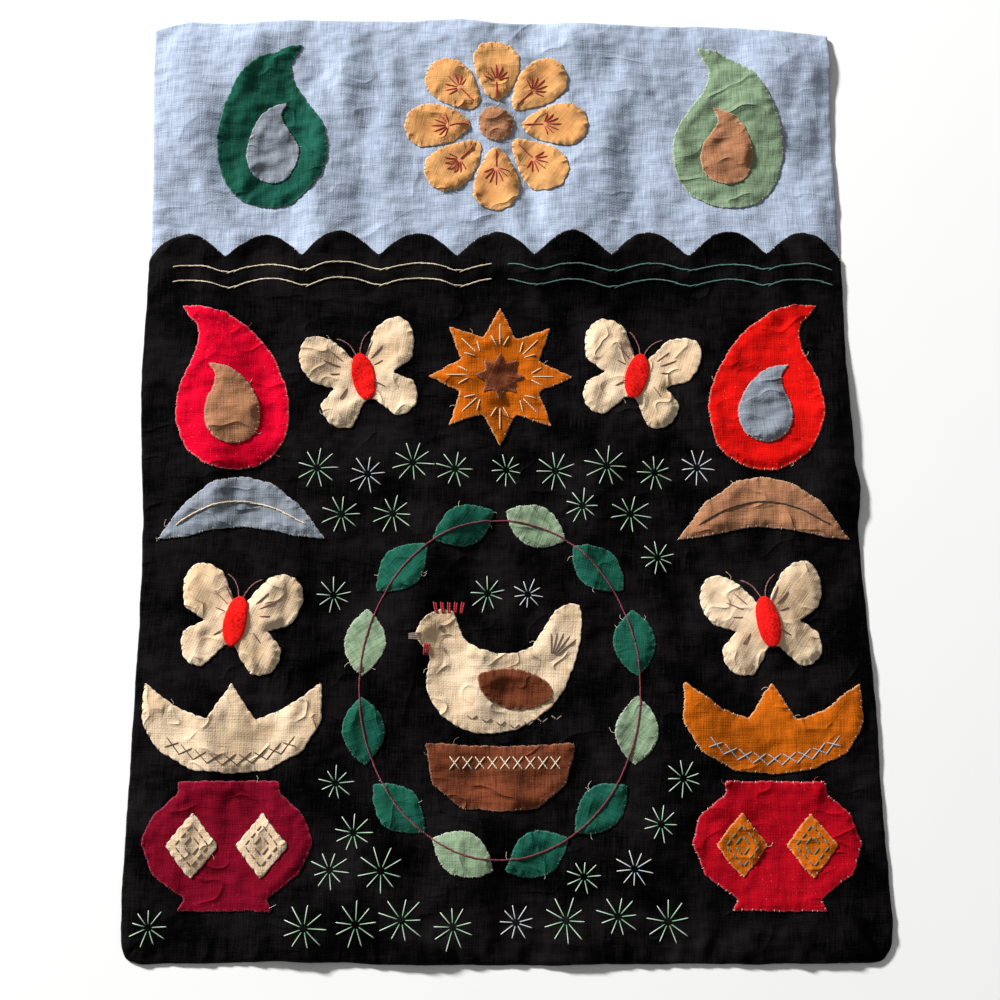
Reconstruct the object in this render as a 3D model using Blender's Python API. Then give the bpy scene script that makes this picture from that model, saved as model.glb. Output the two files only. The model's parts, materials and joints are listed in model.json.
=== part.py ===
"""Applique cloth lying on a table: two cotton ground panels, one lapped over the other, and cotton
and felt cut-outs laid on them in layers.

Sizes are in millimetres and become metres when a mesh is made. X runs across the cloth, Y runs up
the cloth, and Z rises from the table."""

import math

import bmesh
import bpy

MM = 0.001

# Cloth and the space between two layers
GROUND_THICK = 1.2
PATCH_THICK = 1.0
LAYER_GAP = 0.3
LAYER_STEP = PATCH_THICK + LAYER_GAP

# The folded surface is made of flat triangles, two to each square cell
CELL = 20.0
FLAT_BELOW = 0.4
MERGE = 0.05

# The black panel climbs over the lower edge of the blue one, and its own edge is scalloped
CLIMB_START = 92.0
CLIMB_END = 98.0
SEAM_MIDDLE = 116.0
SEAM_SWING = 7.0
SCALLOPS = 9
POINTS_PER_SCALLOP = 6

# Side edges of the cloth as it lies: place up the cloth, left edge, right edge
BLACK_SIDES = (
    (-240.0, -182.6, 188.6),
    (-230.0, -183.2, 189.6),
    (-205.0, -183.1, 188.8),
    (-168.0, -182.7, 187.4),
    (-128.0, -182.1, 187.1),
    (-88.0, -181.6, 185.2),
    (-52.0, -181.9, 183.2),
    (-32.0, -182.4, 182.7),
    (-15.0, -183.8, 184.9),
    (0.0, -184.9, 182.6),
    (28.0, -186.4, 181.8),
    (51.0, -186.7, 180.7),
    (79.0, -186.3, 180.9),
    (100.0, -185.9, 180.9),
)
BLUE_SIDES = (
    (100.0, -184.9, 180.4),
    (148.0, -186.1, 179.7),
    (193.0, -187.8, 179.4),
    (222.0, -188.8, 180.1),
)

# Top edge from left to right and bottom edge from right to left: across, up
TOP_EDGE = (
    (-189.6, 242.0),
    (-170.0, 247.0),
    (-142.0, 245.5),
    (-114.0, 248.6),
    (-52.0, 247.4),
    (-28.0, 249.0),
    (-4.0, 247.1),
    (33.0, 246.4),
    (86.0, 245.2),
    (123.0, 243.8),
    (154.0, 242.0),
    (179.8, 238.8),
)
BOTTOM_EDGE = (
    (184.6, -246.6),
    (178.0, -247.8),
    (120.0, -248.4),
    (67.0, -248.2),
    (6.0, -249.0),
    (-48.0, -248.5),
    (-107.0, -247.1),
    (-172.0, -248.5),
    (-179.6, -246.4),
)

# Soft folds: across, up, turn of the crest in degrees, half length, half width, height
FOLDS = (
    (-188.0, 190.0, 90.0, 75.0, 26.0, 5.0),
    (-142.0, 216.0, 80.0, 72.0, 27.0, 4.0),
    (-58.0, 204.0, 90.0, 70.0, 26.0, 3.0),
    (-12.0, 216.0, 96.0, 60.0, 26.0, 3.0),
    (62.0, 190.0, 62.0, 80.0, 28.0, 3.0),
    (178.0, 222.0, 4.0, 60.0, 24.0, 4.0),
    (182.0, 24.0, -6.0, 60.0, 24.0, 3.5),
    (186.0, -18.0, 8.0, 100.0, 26.0, 5.0),
    (-186.0, 44.0, 10.0, 60.0, 26.0, 3.0),
    (-40.0, 100.0, 4.0, 130.0, 26.0, 2.5),
    (-98.0, -246.0, 86.0, 66.0, 26.0, 4.0),
    (-38.0, -250.0, 94.0, 52.0, 24.0, 3.0),
    (44.0, -248.0, 88.0, 50.0, 24.0, 3.0),
    (150.0, -252.0, 80.0, 66.0, 28.0, 3.5),
    (104.0, -140.0, 100.0, 90.0, 30.0, 2.5),
    (-128.0, -70.0, 72.0, 90.0, 30.0, 3.0),
)

# Outlines of the cut-outs, each about its own middle: across, up
PAISLEY = (
    (23.0, 46.0), (15.0, 34.0), (17.0, 20.0), (26.0, 4.0), (30.0, -14.0), (24.0, -34.0), (8.0, -45.0),
    (-10.0, -45.0), (-25.0, -34.0), (-30.0, -14.0), (-26.0, 6.0), (-17.0, 24.0), (0.0, 40.0),
)
HEN = (
    (-41.0, 17.0), (-33.0, 29.0), (-22.0, 30.0), (-15.0, 15.0), (0.0, 8.0), (18.0, 12.0), (30.0, 30.0),
    (42.0, 33.0), (43.0, 18.0), (38.0, 0.0), (28.0, -18.0), (10.0, -29.0), (-10.0, -31.0), (-27.0, -23.0),
    (-35.0, -7.0), (-33.0, 7.0),
)
WING = ((-13.0, 4.0), (4.0, 7.0), (20.0, 2.0), (24.0, -8.0), (9.0, -14.0), (-8.0, -9.0))
# These are the right halves of even outlines, from the top down
BUTTERFLY_HALF = (
    (3.0, 10.0), (12.0, 24.0), (25.0, 27.0), (31.0, 17.0), (27.0, 3.0), (16.0, -2.0), (25.0, -9.0),
    (23.0, -21.0), (12.0, -25.0), (3.0, -13.0),
)
BOWL_HALF = (
    (0.0, 30.0), (25.0, 30.0), (25.0, 24.0), (37.0, 14.0), (42.0, 0.0), (36.0, -15.0), (20.0, -26.0),
    (23.0, -32.0), (0.0, -32.0),
)
BLOOM_HALF = (
    (0.0, 25.0), (12.0, 7.0), (26.0, 12.0), (44.0, 25.0), (45.0, 6.0), (36.0, -9.0), (19.0, -18.0), (0.0, -20.0),
)
NEST_HALF = ((0.0, 15.0), (37.0, 16.0), (33.0, -4.0), (18.0, -16.0), (0.0, -17.0))

# Sizes of the cut-outs that follow a rule
LEAF_LONG = 35.0
LEAF_WIDE = 22.0
LEAF_POINTS = 6
LEAF_FULLNESS = 0.85
PETAL_LONG = 37.0
PETAL_WIDE = 34.0
PETAL_POINTS = 12
PETAL_FOOT = 0.28
INNER_DROP_SHARE = 0.48
INNER_DROP_DOWN = 10.0
ROSETTE_DISC = 20.0
ROSETTE_HOLE = 26.0
ROSETTE_PETALS = 8
STAR_OUTER = 38.0
STAR_INNER = 22.0
STAR_CENTRE = 13.0
STAR_ARMS = 8
STAR_CENTRE_INNER = 8.0
ROUND_POINTS = 14
BODY_LONG = 26.0
BODY_WIDE = 12.0
CRESCENT_LONG = 88.0
CRESCENT_THICK = 27.0
CRESCENT_RISE = 20.0
CRESCENT_POINTS = 7
CRESCENT_FULLNESS = 0.6
DIAMOND_WIDE = 26.0
DIAMOND_TALL = 32.0

# Places on the cloth: across, up
EMERALD_AT = (-124.0, 184.0)
SAGE_AT = (124.0, 182.0)
ROSETTE_AT = (-2.0, 185.0)
CRIMSON_AT = (-140.0, 40.0)
VERMILION_AT = (139.0, 40.0)
UPPER_DROP_TURN = 8.0
LOWER_DROP_TURN = 6.0
STAR_AT = (0.0, 44.0)
BUTTERFLIES_AT = ((-71.0, 44.0), (71.0, 44.0), (-132.0, -84.0), (134.0, -84.0))
BUTTERFLY_TURNS = (14.0, -14.0, -10.0, 10.0)
CRESCENTS_AT = ((-132.0, -42.0), (134.0, -42.0))
WREATH_AT = (0.0, -116.0)
WREATH_RADII = (70.0, 84.0)
WREATH_LEAVES = 12
LEAF_TILT = 9.0
SAGE_EVERY = 3
HEN_AT = (-2.0, -108.0)
WING_AT = (2.0, -114.0)
NEST_AT = (0.0, -160.0)
BOWLS_AT = ((-133.0, -192.0), (135.0, -192.0))
BLOOM_UP = 53.0
DIAMOND_SIDE = 17.0
DIAMOND_UP = -1.0

# Colours of the cottons and the felt
COLOURS = {
    "chambray": "A9B8CF",
    "black": "17161A",
    "emerald": "1F7A58",
    "crimson": "D4002F",
    "ochre": "D87A12",
    "vermilion": "E8160C",
    "sage": "93AE88",
    "grey": "7F8791",
    "tan": "A77B60",
    "brown": "7A4527",
    "cream": "EFDDBF",
    "dark_red": "8D0A2B",
    "red": "C20A2C",
    "golden": "DFA55A",
    "leaf": "0F5A45",
    "felt": "E0241A",
}
CLOTH_ROUGHNESS = 0.9


def linear(hex_colour):
    """An sRGB hex colour as linear red, green, blue and alpha."""
    parts = [int(hex_colour[i:i + 2], 16) / 255 for i in (0, 2, 4)]
    return [c / 12.92 if c <= 0.04045 else ((c + 0.055) / 1.055) ** 2.4 for c in parts] + [1.0]


def cloth_material(name, colour):
    """A matt cotton or felt of one colour."""
    material = bpy.data.materials.new(name)
    material.use_nodes = True
    shader = material.node_tree.nodes["Principled BSDF"]
    shader.inputs["Base Color"].default_value = linear(COLOURS[colour])
    shader.inputs["Roughness"].default_value = CLOTH_ROUGHNESS
    shader.inputs["Metallic"].default_value = 0.0
    return material


def fold_height(across, up):
    """Height of all the soft folds at a place, before the surface is cut into flat triangles."""
    total = 0.0
    for fold_across, fold_up, turn, half_length, half_width, height in FOLDS:
        angle = math.radians(turn)
        dx = across - fold_across
        dy = up - fold_up
        along = (dx * math.cos(angle) + dy * math.sin(angle)) / half_length
        aside = (dy * math.cos(angle) - dx * math.sin(angle)) / half_width
        if abs(along) < 1.0 and abs(aside) < 1.0:
            total += height * (math.cos(along * math.pi / 2) * math.cos(aside * math.pi / 2)) ** 2
    return total


def corner_height(column, row):
    """Height at a corner of the cells, with the lowest swells pressed flat."""
    height = fold_height(column * CELL, row * CELL)
    return height if height > FLAT_BELOW else 0.0


def surface_height(across, up):
    """Height of the flat triangles that the cloth is folded in."""
    column = math.floor(across / CELL)
    row = math.floor(up / CELL)
    u = across / CELL - column
    v = up / CELL - row
    low = corner_height(column, row)
    high = corner_height(column + 1, row + 1)
    if u >= v:
        side = corner_height(column + 1, row)
        return low + (side - low) * u + (high - side) * v
    side = corner_height(column, row + 1)
    return low + (high - side) * u + (side - low) * v


def climb(up):
    """How far the black panel has climbed onto the blue one."""
    share = (up - CLIMB_START) / (CLIMB_END - CLIMB_START)
    return (GROUND_THICK + LAYER_GAP) * min(max(share, 0.0), 1.0)


def closed_curve(points, steps=2):
    """A smooth loop through the points, with this many places on each span."""
    loop = []
    count = len(points)
    for i in range(count):
        before, start, end, after = (points[(i + k - 1) % count] for k in range(4))
        for step in range(steps):
            t = step / steps
            place = []
            for b, s, e, a in zip(before, start, end, after):
                bend = (2 * b - 5 * s + 4 * e - a) * t ** 2 + (3 * s - b - 3 * e + a) * t ** 3
                place.append((2 * s + (e - b) * t + bend) / 2)
            loop.append(tuple(place))
    return loop


def both_sides(half):
    """A whole even outline from its right half."""
    left = [(-across, up) for across, up in reversed(half) if across > 0.0]
    return list(half) + left


def oval(wide, long, points=ROUND_POINTS):
    """An oval outline."""
    turns = [2 * math.pi * i / points for i in range(points)]
    return [(wide / 2 * math.sin(turn), long / 2 * math.cos(turn)) for turn in turns]


def leaf():
    """A pointed leaf with its length across the cloth."""
    outline = []
    for side in (1.0, -1.0):
        for i in range(LEAF_POINTS):
            share = i / LEAF_POINTS
            bulge = math.sin(share * math.pi) ** LEAF_FULLNESS
            outline.append((side * LEAF_LONG * (0.5 - share), side * LEAF_WIDE / 2 * bulge))
    return outline


def petal():
    """A petal that is round at the top and narrow at its foot."""
    outline = []
    for i in range(PETAL_POINTS):
        turn = 2 * math.pi * i / PETAL_POINTS
        narrowing = 1.0 - PETAL_FOOT * (1.0 - math.cos(turn))
        outline.append((PETAL_WIDE / 2 * math.sin(turn) * narrowing, PETAL_LONG / 2 * math.cos(turn)))
    return outline


def star(outer, inner, arms):
    """A star with straight sides."""
    outline = []
    for i in range(2 * arms):
        radius = outer if i % 2 == 0 else inner
        turn = math.pi * i / arms
        outline.append((radius * math.sin(turn), radius * math.cos(turn)))
    return outline


def crescent():
    """An arched crescent with round ends drawn to points."""
    upper = []
    lower = []
    for i in range(CRESCENT_POINTS):
        share = i / (CRESCENT_POINTS - 1)
        across = CRESCENT_LONG * (share - 0.5)
        arch = math.sin(share * math.pi)
        upper.append((across, CRESCENT_RISE * arch + CRESCENT_THICK / 2 * arch ** CRESCENT_FULLNESS))
        lower.append((across, CRESCENT_RISE * arch - CRESCENT_THICK / 2 * arch ** CRESCENT_FULLNESS))
    return upper + lower[-2:0:-1]


def placed(outline, middle, turn=0.0, share=1.0, mirror=False):
    """An outline scaled, turned by degrees and moved to its place."""
    cos = math.cos(math.radians(turn))
    sin = math.sin(math.radians(turn))
    flip = -share if mirror else share
    return [
        (middle[0] + x * flip * cos - y * share * sin, middle[1] + x * flip * sin + y * share * cos)
        for x, y in outline
    ]


def seam_edge():
    """The scalloped upper edge of the black panel, from left to right."""
    left = BLACK_SIDES[-1][1]
    right = BLACK_SIDES[-1][2]
    count = SCALLOPS * POINTS_PER_SCALLOP
    edge = []
    for i in range(count + 1):
        share = i / count
        swing = abs(math.sin(share * SCALLOPS * math.pi)) * 2 - 1
        edge.append((left + (right - left) * share, SEAM_MIDDLE + SEAM_SWING * swing))
    return edge


def black_outline():
    """The black panel: left side, scalloped top, right side and bottom."""
    left = [(row[1], row[0]) for row in BLACK_SIDES]
    right = [(row[2], row[0]) for row in reversed(BLACK_SIDES)]
    return left + seam_edge() + right + list(BOTTOM_EDGE)


def blue_outline():
    """The blue panel: left side, wavy top, right side and a straight edge under the black."""
    left = [(row[1], row[0]) for row in BLUE_SIDES]
    right = [(row[2], row[0]) for row in reversed(BLUE_SIDES)]
    return left + list(TOP_EDGE) + right


def cut_lines(outline, climbs):
    """A point and a direction for each line where the surface of a piece bends."""
    xs = [x for x, _ in outline]
    ys = [y for _, y in outline]
    lines = []
    for column in range(math.floor(min(xs) / CELL), math.ceil(max(xs) / CELL) + 1):
        lines.append(((column * CELL, 0.0), (1.0, 0.0)))
    for row in range(math.floor(min(ys) / CELL), math.ceil(max(ys) / CELL) + 1):
        lines.append(((0.0, row * CELL), (0.0, 1.0)))
    low = math.floor((min(ys) - max(xs)) / CELL)
    high = math.ceil((max(ys) - min(xs)) / CELL)
    for diagonal in range(low, high + 1):
        lines.append(((0.0, diagonal * CELL), (1.0, -1.0)))
    if climbs:
        lines.append(((0.0, CLIMB_START), (0.0, 1.0)))
        lines.append(((0.0, CLIMB_END), (0.0, 1.0)))
    return lines


def add_piece(name, colour, outline, lift, thick, climbs):
    """A piece of cloth of this outline, laid on the folded surface and lifted by the layers under it."""
    middle = (sum(x for x, _ in outline) / len(outline), sum(y for _, y in outline) / len(outline))
    mesh = bmesh.new()
    mesh.faces.new([mesh.verts.new((x, y, 0.0)) for x, y in outline])
    for point, across in cut_lines(outline, climbs):
        geometry = mesh.verts[:] + mesh.edges[:] + mesh.faces[:]
        bmesh.ops.bisect_plane(
            mesh, geom=geometry, dist=MERGE, plane_co=(*point, 0.0), plane_no=(*across, 0.0)
        )
    bmesh.ops.remove_doubles(mesh, verts=mesh.verts[:], dist=MERGE)
    bmesh.ops.triangulate(mesh, faces=mesh.faces[:])
    for vert in mesh.verts:
        x, y, _ = vert.co
        vert.co.z = surface_height(x, y) + lift + (climb(y) if climbs else 0.0)
    upper = bmesh.ops.extrude_face_region(mesh, geom=mesh.faces[:], use_keep_orig=True)["geom"]
    raised = [item for item in upper if isinstance(item, bmesh.types.BMVert)]
    bmesh.ops.translate(mesh, verts=raised, vec=(0.0, 0.0, thick))
    bmesh.ops.recalc_face_normals(mesh, faces=mesh.faces[:])
    bmesh.ops.translate(mesh, verts=mesh.verts[:], vec=(-middle[0], -middle[1], 0.0))
    bmesh.ops.scale(mesh, verts=mesh.verts[:], vec=(MM, MM, MM))
    data = bpy.data.meshes.new(name)
    mesh.to_mesh(data)
    mesh.free()
    data.materials.append(cloth_material(name, colour))
    piece = bpy.data.objects.new(name, data)
    piece.location = (middle[0] * MM, middle[1] * MM, 0.0)
    bpy.context.scene.collection.objects.link(piece)
    return piece


def add_ground(name, colour, outline, climbs):
    """A ground panel, which lies on the table."""
    return add_piece(name, colour, outline, 0.0, GROUND_THICK, climbs)


def add_patch(name, colour, outline, on_black, layer=1):
    """A cut-out on a ground panel, or on the cut-out below it when its layer is 2."""
    lift = GROUND_THICK + LAYER_GAP + (layer - 1) * LAYER_STEP
    return add_piece(name, colour, outline, lift, PATCH_THICK, on_black)


def add_paisley(name, colours, middle, turn, mirror, on_black):
    """A paisley drop with a smaller one of another cloth on its belly."""
    shape = closed_curve(PAISLEY)
    add_patch(f"{name}_drop", colours[0], placed(shape, middle, turn, 1.0, mirror), on_black)
    belly = placed([(0.0, -INNER_DROP_DOWN)], middle, turn, 1.0, mirror)[0]
    inner = placed(shape, belly, turn, INNER_DROP_SHARE, mirror)
    add_patch(f"{name}_inner", colours[1], inner, on_black, layer=2)


def add_rosette():
    """Golden petals round a tan disc."""
    radius = (ROSETTE_HOLE + PETAL_LONG) / 2
    for i in range(ROSETTE_PETALS):
        turn = 360 * i / ROSETTE_PETALS
        angle = math.radians(turn)
        middle = (ROSETTE_AT[0] - radius * math.sin(angle), ROSETTE_AT[1] + radius * math.cos(angle))
        add_patch(f"petal_{i + 1}", "golden", placed(petal(), middle, turn), False)
    disc = placed(oval(ROSETTE_DISC, ROSETTE_DISC), ROSETTE_AT)
    add_patch("rosette_disc", "tan", disc, False)


def add_star():
    """An ochre star with a brown star on its middle."""
    outer = placed(star(STAR_OUTER, STAR_INNER, STAR_ARMS), STAR_AT)
    inner = placed(star(STAR_CENTRE, STAR_CENTRE_INNER, STAR_ARMS), STAR_AT)
    add_patch("star", "ochre", outer, True)
    add_patch("star_centre", "brown", inner, True, layer=2)


def add_butterflies():
    """Cream butterflies with felt bodies."""
    wings = closed_curve(both_sides(BUTTERFLY_HALF))
    for number, (middle, turn) in enumerate(zip(BUTTERFLIES_AT, BUTTERFLY_TURNS), 1):
        add_patch(f"butterfly_{number}", "cream", placed(wings, middle, turn), True)
        body = placed(oval(BODY_WIDE, BODY_LONG), middle, turn)
        add_patch(f"butterfly_body_{number}", "felt", body, True, layer=2)


def add_wreath():
    """Leaves that follow each other round an oval."""
    for i in range(WREATH_LEAVES):
        angle = 2 * math.pi * (i + 0.5) / WREATH_LEAVES
        across = WREATH_RADII[0] * math.cos(angle)
        up = WREATH_RADII[1] * math.sin(angle)
        turn = math.degrees(math.atan2(WREATH_RADII[1] * math.cos(angle), -WREATH_RADII[0] * math.sin(angle)))
        colour = "sage" if (i + 1) % SAGE_EVERY == 0 else "leaf"
        turn += LEAF_TILT if i % 2 else -LEAF_TILT
        middle = (WREATH_AT[0] + across, WREATH_AT[1] + up)
        add_patch(f"leaf_{i + 1}", colour, placed(leaf(), middle, turn), True)


def add_hen():
    """A cream hen with a brown wing, over a brown nest."""
    add_patch("hen", "cream", placed(closed_curve(HEN), HEN_AT), True)
    add_patch("hen_wing", "brown", placed(closed_curve(WING), WING_AT), True, layer=2)
    add_patch("nest", "brown", placed(both_sides(NEST_HALF), NEST_AT), True)


def add_vases():
    """Two round bowls with feet, each with an open bloom above it and two diamonds on its belly."""
    diamond = both_sides(((0.0, DIAMOND_TALL / 2), (DIAMOND_WIDE / 2, 0.0), (0.0, -DIAMOND_TALL / 2)))
    styles = (("left", "dark_red", "cream"), ("right", "red", "ochre"))
    for (side, bowl_colour, trim_colour), middle in zip(styles, BOWLS_AT):
        add_patch(f"bowl_{side}", bowl_colour, placed(both_sides(BOWL_HALF), middle), True)
        bloom = placed(both_sides(BLOOM_HALF), (middle[0], middle[1] + BLOOM_UP))
        add_patch(f"bloom_{side}", trim_colour, bloom, True)
        for number, aside in enumerate((-DIAMOND_SIDE, DIAMOND_SIDE), 1):
            place = (middle[0] + aside, middle[1] + DIAMOND_UP)
            add_patch(f"diamond_{side}_{number}", trim_colour, placed(diamond, place), True, layer=2)


def main():
    for old in list(bpy.data.objects):
        bpy.data.objects.remove(old)
    add_ground("ground_blue", "chambray", blue_outline(), False)
    add_ground("ground_black", "black", black_outline(), True)
    add_paisley("emerald", ("emerald", "grey"), EMERALD_AT, UPPER_DROP_TURN, False, False)
    add_paisley("sage", ("sage", "tan"), SAGE_AT, -UPPER_DROP_TURN, True, False)
    add_paisley("crimson", ("crimson", "tan"), CRIMSON_AT, LOWER_DROP_TURN, True, True)
    add_paisley("vermilion", ("vermilion", "grey"), VERMILION_AT, -LOWER_DROP_TURN, False, True)
    add_rosette()
    add_star()
    add_butterflies()
    for side, colour, middle in zip(("left", "right"), ("grey", "tan"), CRESCENTS_AT):
        add_patch(f"crescent_{side}", colour, placed(crescent(), middle), True)
    add_wreath()
    add_hen()
    add_vases()


main()
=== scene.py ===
"""Applique cotton cloth lying face up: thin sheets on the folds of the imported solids, turned edges held by
small stitches, and embroidery in twisted cotton thread.

The file is laid out as an add-on and is run as a script. Lengths are in metres, and X runs across the
cloth, Y up the cloth and Z up from the table."""

import json
import math
import random

import bpy
import numpy as np
from bpy.props import FloatProperty, FloatVectorProperty, IntProperty, PointerProperty
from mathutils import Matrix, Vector, kdtree, noise
from mathutils.bvhtree import BVHTree
from mathutils.geometry import delaunay_2d_cdt

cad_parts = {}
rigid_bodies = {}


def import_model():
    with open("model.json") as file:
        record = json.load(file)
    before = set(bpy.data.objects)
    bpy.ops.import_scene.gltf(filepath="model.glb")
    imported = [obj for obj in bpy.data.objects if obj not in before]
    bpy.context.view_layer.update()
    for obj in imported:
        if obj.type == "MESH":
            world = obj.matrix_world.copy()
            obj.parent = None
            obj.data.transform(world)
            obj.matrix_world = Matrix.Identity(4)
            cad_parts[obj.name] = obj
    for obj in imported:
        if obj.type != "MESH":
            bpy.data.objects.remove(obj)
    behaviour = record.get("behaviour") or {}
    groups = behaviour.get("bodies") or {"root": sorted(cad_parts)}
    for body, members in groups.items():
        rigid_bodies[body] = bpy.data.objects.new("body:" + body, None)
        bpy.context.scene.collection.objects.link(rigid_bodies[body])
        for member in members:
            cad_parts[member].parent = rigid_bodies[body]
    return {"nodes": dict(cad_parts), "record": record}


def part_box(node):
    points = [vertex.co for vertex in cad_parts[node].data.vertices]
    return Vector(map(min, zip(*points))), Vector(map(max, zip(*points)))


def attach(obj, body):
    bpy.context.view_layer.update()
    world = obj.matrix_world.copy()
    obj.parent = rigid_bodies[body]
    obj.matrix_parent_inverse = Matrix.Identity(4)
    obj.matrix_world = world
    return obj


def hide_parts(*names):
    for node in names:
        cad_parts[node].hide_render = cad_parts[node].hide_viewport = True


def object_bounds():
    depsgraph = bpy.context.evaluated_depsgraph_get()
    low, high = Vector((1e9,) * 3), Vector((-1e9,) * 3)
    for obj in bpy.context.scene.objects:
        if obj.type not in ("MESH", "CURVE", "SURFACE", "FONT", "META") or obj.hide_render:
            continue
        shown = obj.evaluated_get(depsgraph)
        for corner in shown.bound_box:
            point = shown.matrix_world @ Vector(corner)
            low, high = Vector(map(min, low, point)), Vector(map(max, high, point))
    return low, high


bl_info = {
    "name": "Applique cloth",
    "version": (1, 0, 0),
    "blender": (4, 5, 0),
    "location": "View3D > Sidebar > Cloth",
    "description": "Builds a hand-sewn applique cloth on its packed solids",
    "category": "Object",
}

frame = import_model()
CAD_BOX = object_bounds()

MM = 0.001
GROUND_NODES = ("ground_blue", "ground_black")
ROOT = "root"

# Heights over the underside of the ground: a cut-out's lower face, and the step from there to the next one's
PATCH_LIFT = 0.92 * MM
LAYER_RISE = 0.62 * MM

# Air between the two panels where one laps over the other, and under a felt body
LAP_GAP = 0.12 * MM
FELT_GAP = 0.14 * MM

# How far the floor lies below the cloth
FLOOR_DROP = 0.15 * MM

# Height map of the underside of the cloth
MAP_STEP = 2.5 * MM
MAP_BLUR = 5

# Map of how far a place is inside the cloth: cells added round it, and how often it is smoothed
COVER_MARGIN = 12
COVER_BLUR = 22


def linear(hex_colour):
    """An sRGB hex colour as linear red, green and blue."""
    parts = [int(hex_colour[i:i + 2], 16) / 255 for i in (0, 2, 4)]
    return tuple(c / 12.92 if c <= 0.04045 else ((c + 0.055) / 1.055) ** 2.4 for c in parts)


def colour_property(name, description, hex_colour):
    """A colour that a user may change."""
    return FloatVectorProperty(
        name=name, description=description, subtype="COLOR", size=3, min=0.0, max=1.0, default=linear(hex_colour)
    )


def length_property(name, description, millimetres):
    """A length that a user may change, given in millimetres and kept in metres."""
    return FloatProperty(
        name=name, description=description, default=millimetres * MM, min=0.0, unit="LENGTH", subtype="DISTANCE"
    )


class ClothSizes(bpy.types.PropertyGroup):
    """Sizes of the sheets."""

    ground_step: length_property("Ground mesh step", "Spacing of the points in the ground sheets", 2.2)
    patch_step: length_property("Cut-out mesh step", "Spacing of the points in the cut-outs", 1.5)
    edge_step: length_property("Edge step", "Spacing of the points along an edge", 0.8)
    turn_width: length_property("Turning", "Width of the cloth turned under along an edge", 5.0)
    hem_width: length_property("Hem", "Width of the hem of the ground panels", 4.5)
    wobble: length_property("Hand-cut wobble", "How far an edge strays from its even outline", 0.75)
    crease: length_property("Crease height", "Height of the small creases in a cut-out", 1.15)
    ground_crease: length_property("Ground crease height", "Height of the small creases in the ground", 0.3)
    yarn: length_property("Yarn spacing", "Spacing of the yarns in the weave", 0.95)


class StitchSizes(bpy.types.PropertyGroup):
    """Sizes of the sewing and the embroidery."""

    spacing: length_property("Whip stitch spacing", "Usual distance from one edge stitch to the next", 4.6)
    sewing_thick: length_property("Sewing thread", "Thickness of the sewing thread", 0.27)
    floss_thick: length_property("Embroidery thread", "Thickness of the embroidery thread", 0.85)
    stem_stitch: length_property("Stem stitch", "Length of one stem stitch", 6.2)
    sprig_arm: length_property("Sprig arm", "Length of an arm of a straight-stitch sprig", 10.6)
    sprig_arms: IntProperty(name="Sprig arms", description="Number of arms of a sprig", default=9, min=3)
    sprig_spacing: length_property("Sprig spacing", "Distance between two sprigs", 28.0)


class ClothColours(bpy.types.PropertyGroup):
    """Colours of the cottons and the felt."""

    chambray: colour_property("Chambray", "Light blue upper panel", "A5B1C4")
    black: colour_property("Black", "Black lower panel", "0E0C0D")
    emerald: colour_property("Emerald", "Emerald cotton", "1B5041")
    crimson: colour_property("Crimson", "Crimson cotton", "D20529")
    ochre: colour_property("Ochre", "Orange ochre cotton", "BD5D10")
    vermilion: colour_property("Vermilion", "Vermilion cotton", "D8130F")
    sage: colour_property("Sage", "Sage green cotton", "7D9275")
    grey: colour_property("Grey", "Blue-grey cotton", "7F8690")
    tan: colour_property("Tan", "Tan cotton", "A67555")
    brown: colour_property("Brown", "Brown cotton", "703B26")
    cream: colour_property("Cream", "Cream cotton", "E2C9A9")
    dark_red: colour_property("Dark red", "Dark red cotton", "790B21")
    red: colour_property("Red", "Red cotton", "AC0A1B")
    golden: colour_property("Golden", "Golden cotton", "D59D63")
    leaf: colour_property("Leaf", "Dark green cotton", "1B5444")
    felt: colour_property("Felt", "Red wool felt", "F01D18")


class ThreadColours(bpy.types.PropertyGroup):
    """Colours of the threads."""

    maroon: colour_property("Maroon", "Stems", "7A2A3C")
    garnet: colour_property("Garnet", "Red sprays on the petals", "AE2026")
    rose_brown: colour_property("Rose brown", "Feelers", "8A5A56")
    teal: colour_property("Teal", "Teal lines", "4A7A70")
    ecru: colour_property("Ecru", "Cream lines and pale sewing", "E4D3B4")
    taupe: colour_property("Taupe", "Grey-brown lines", "8A7468")
    sepia: colour_property("Sepia", "Herringbone on cream", "5A4234")
    mint: colour_property("Mint", "Tips of the sprigs", "D2E8CE")
    green: colour_property("Green", "Middles of the sprigs", "58A06A")
    sky: colour_property("Sky", "Pale blue sprigs", "9DBAC8")
    white: colour_property("White", "White sprigs", "E6E0D8")


class StageSizes(bpy.types.PropertyGroup):
    """Camera and lights."""

    distance: FloatProperty(name="Camera distance", description="From the cloth", default=0.7126, unit="LENGTH")
    tilt: FloatProperty(
        name="Camera tilt", description="Away from straight above", default=math.radians(11.4), subtype="ANGLE"
    )
    lens: FloatProperty(name="Lens", description="Focal length in millimetres on a 36 mm sensor", default=50.0)
    aim_down: length_property("Aim", "How far below the middle of the cloth the camera aims", 20.85)
    key_place: FloatVectorProperty(
        name="Key light place", description="Middle of the key light", default=(-3.04, 2.74, 1.86), subtype="XYZ"
    )
    key_size: FloatProperty(name="Key light size", description="Width of the key light", default=0.6, unit="LENGTH")
    key_power: FloatProperty(name="Key light", description="Power of the key light in watts", default=405.0)
    dome: FloatProperty(name="Dome light", description="Strength of the light from all round", default=0.22)
    floor: colour_property("Floor", "Plain pale floor", "FBFBFA")


PROPERTY_GROUPS = (
    ("cloth_sizes", ClothSizes),
    ("stitch_sizes", StitchSizes),
    ("cloth_colours", ClothColours),
    ("thread_colours", ThreadColours),
    ("stage_sizes", StageSizes),
)


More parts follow.
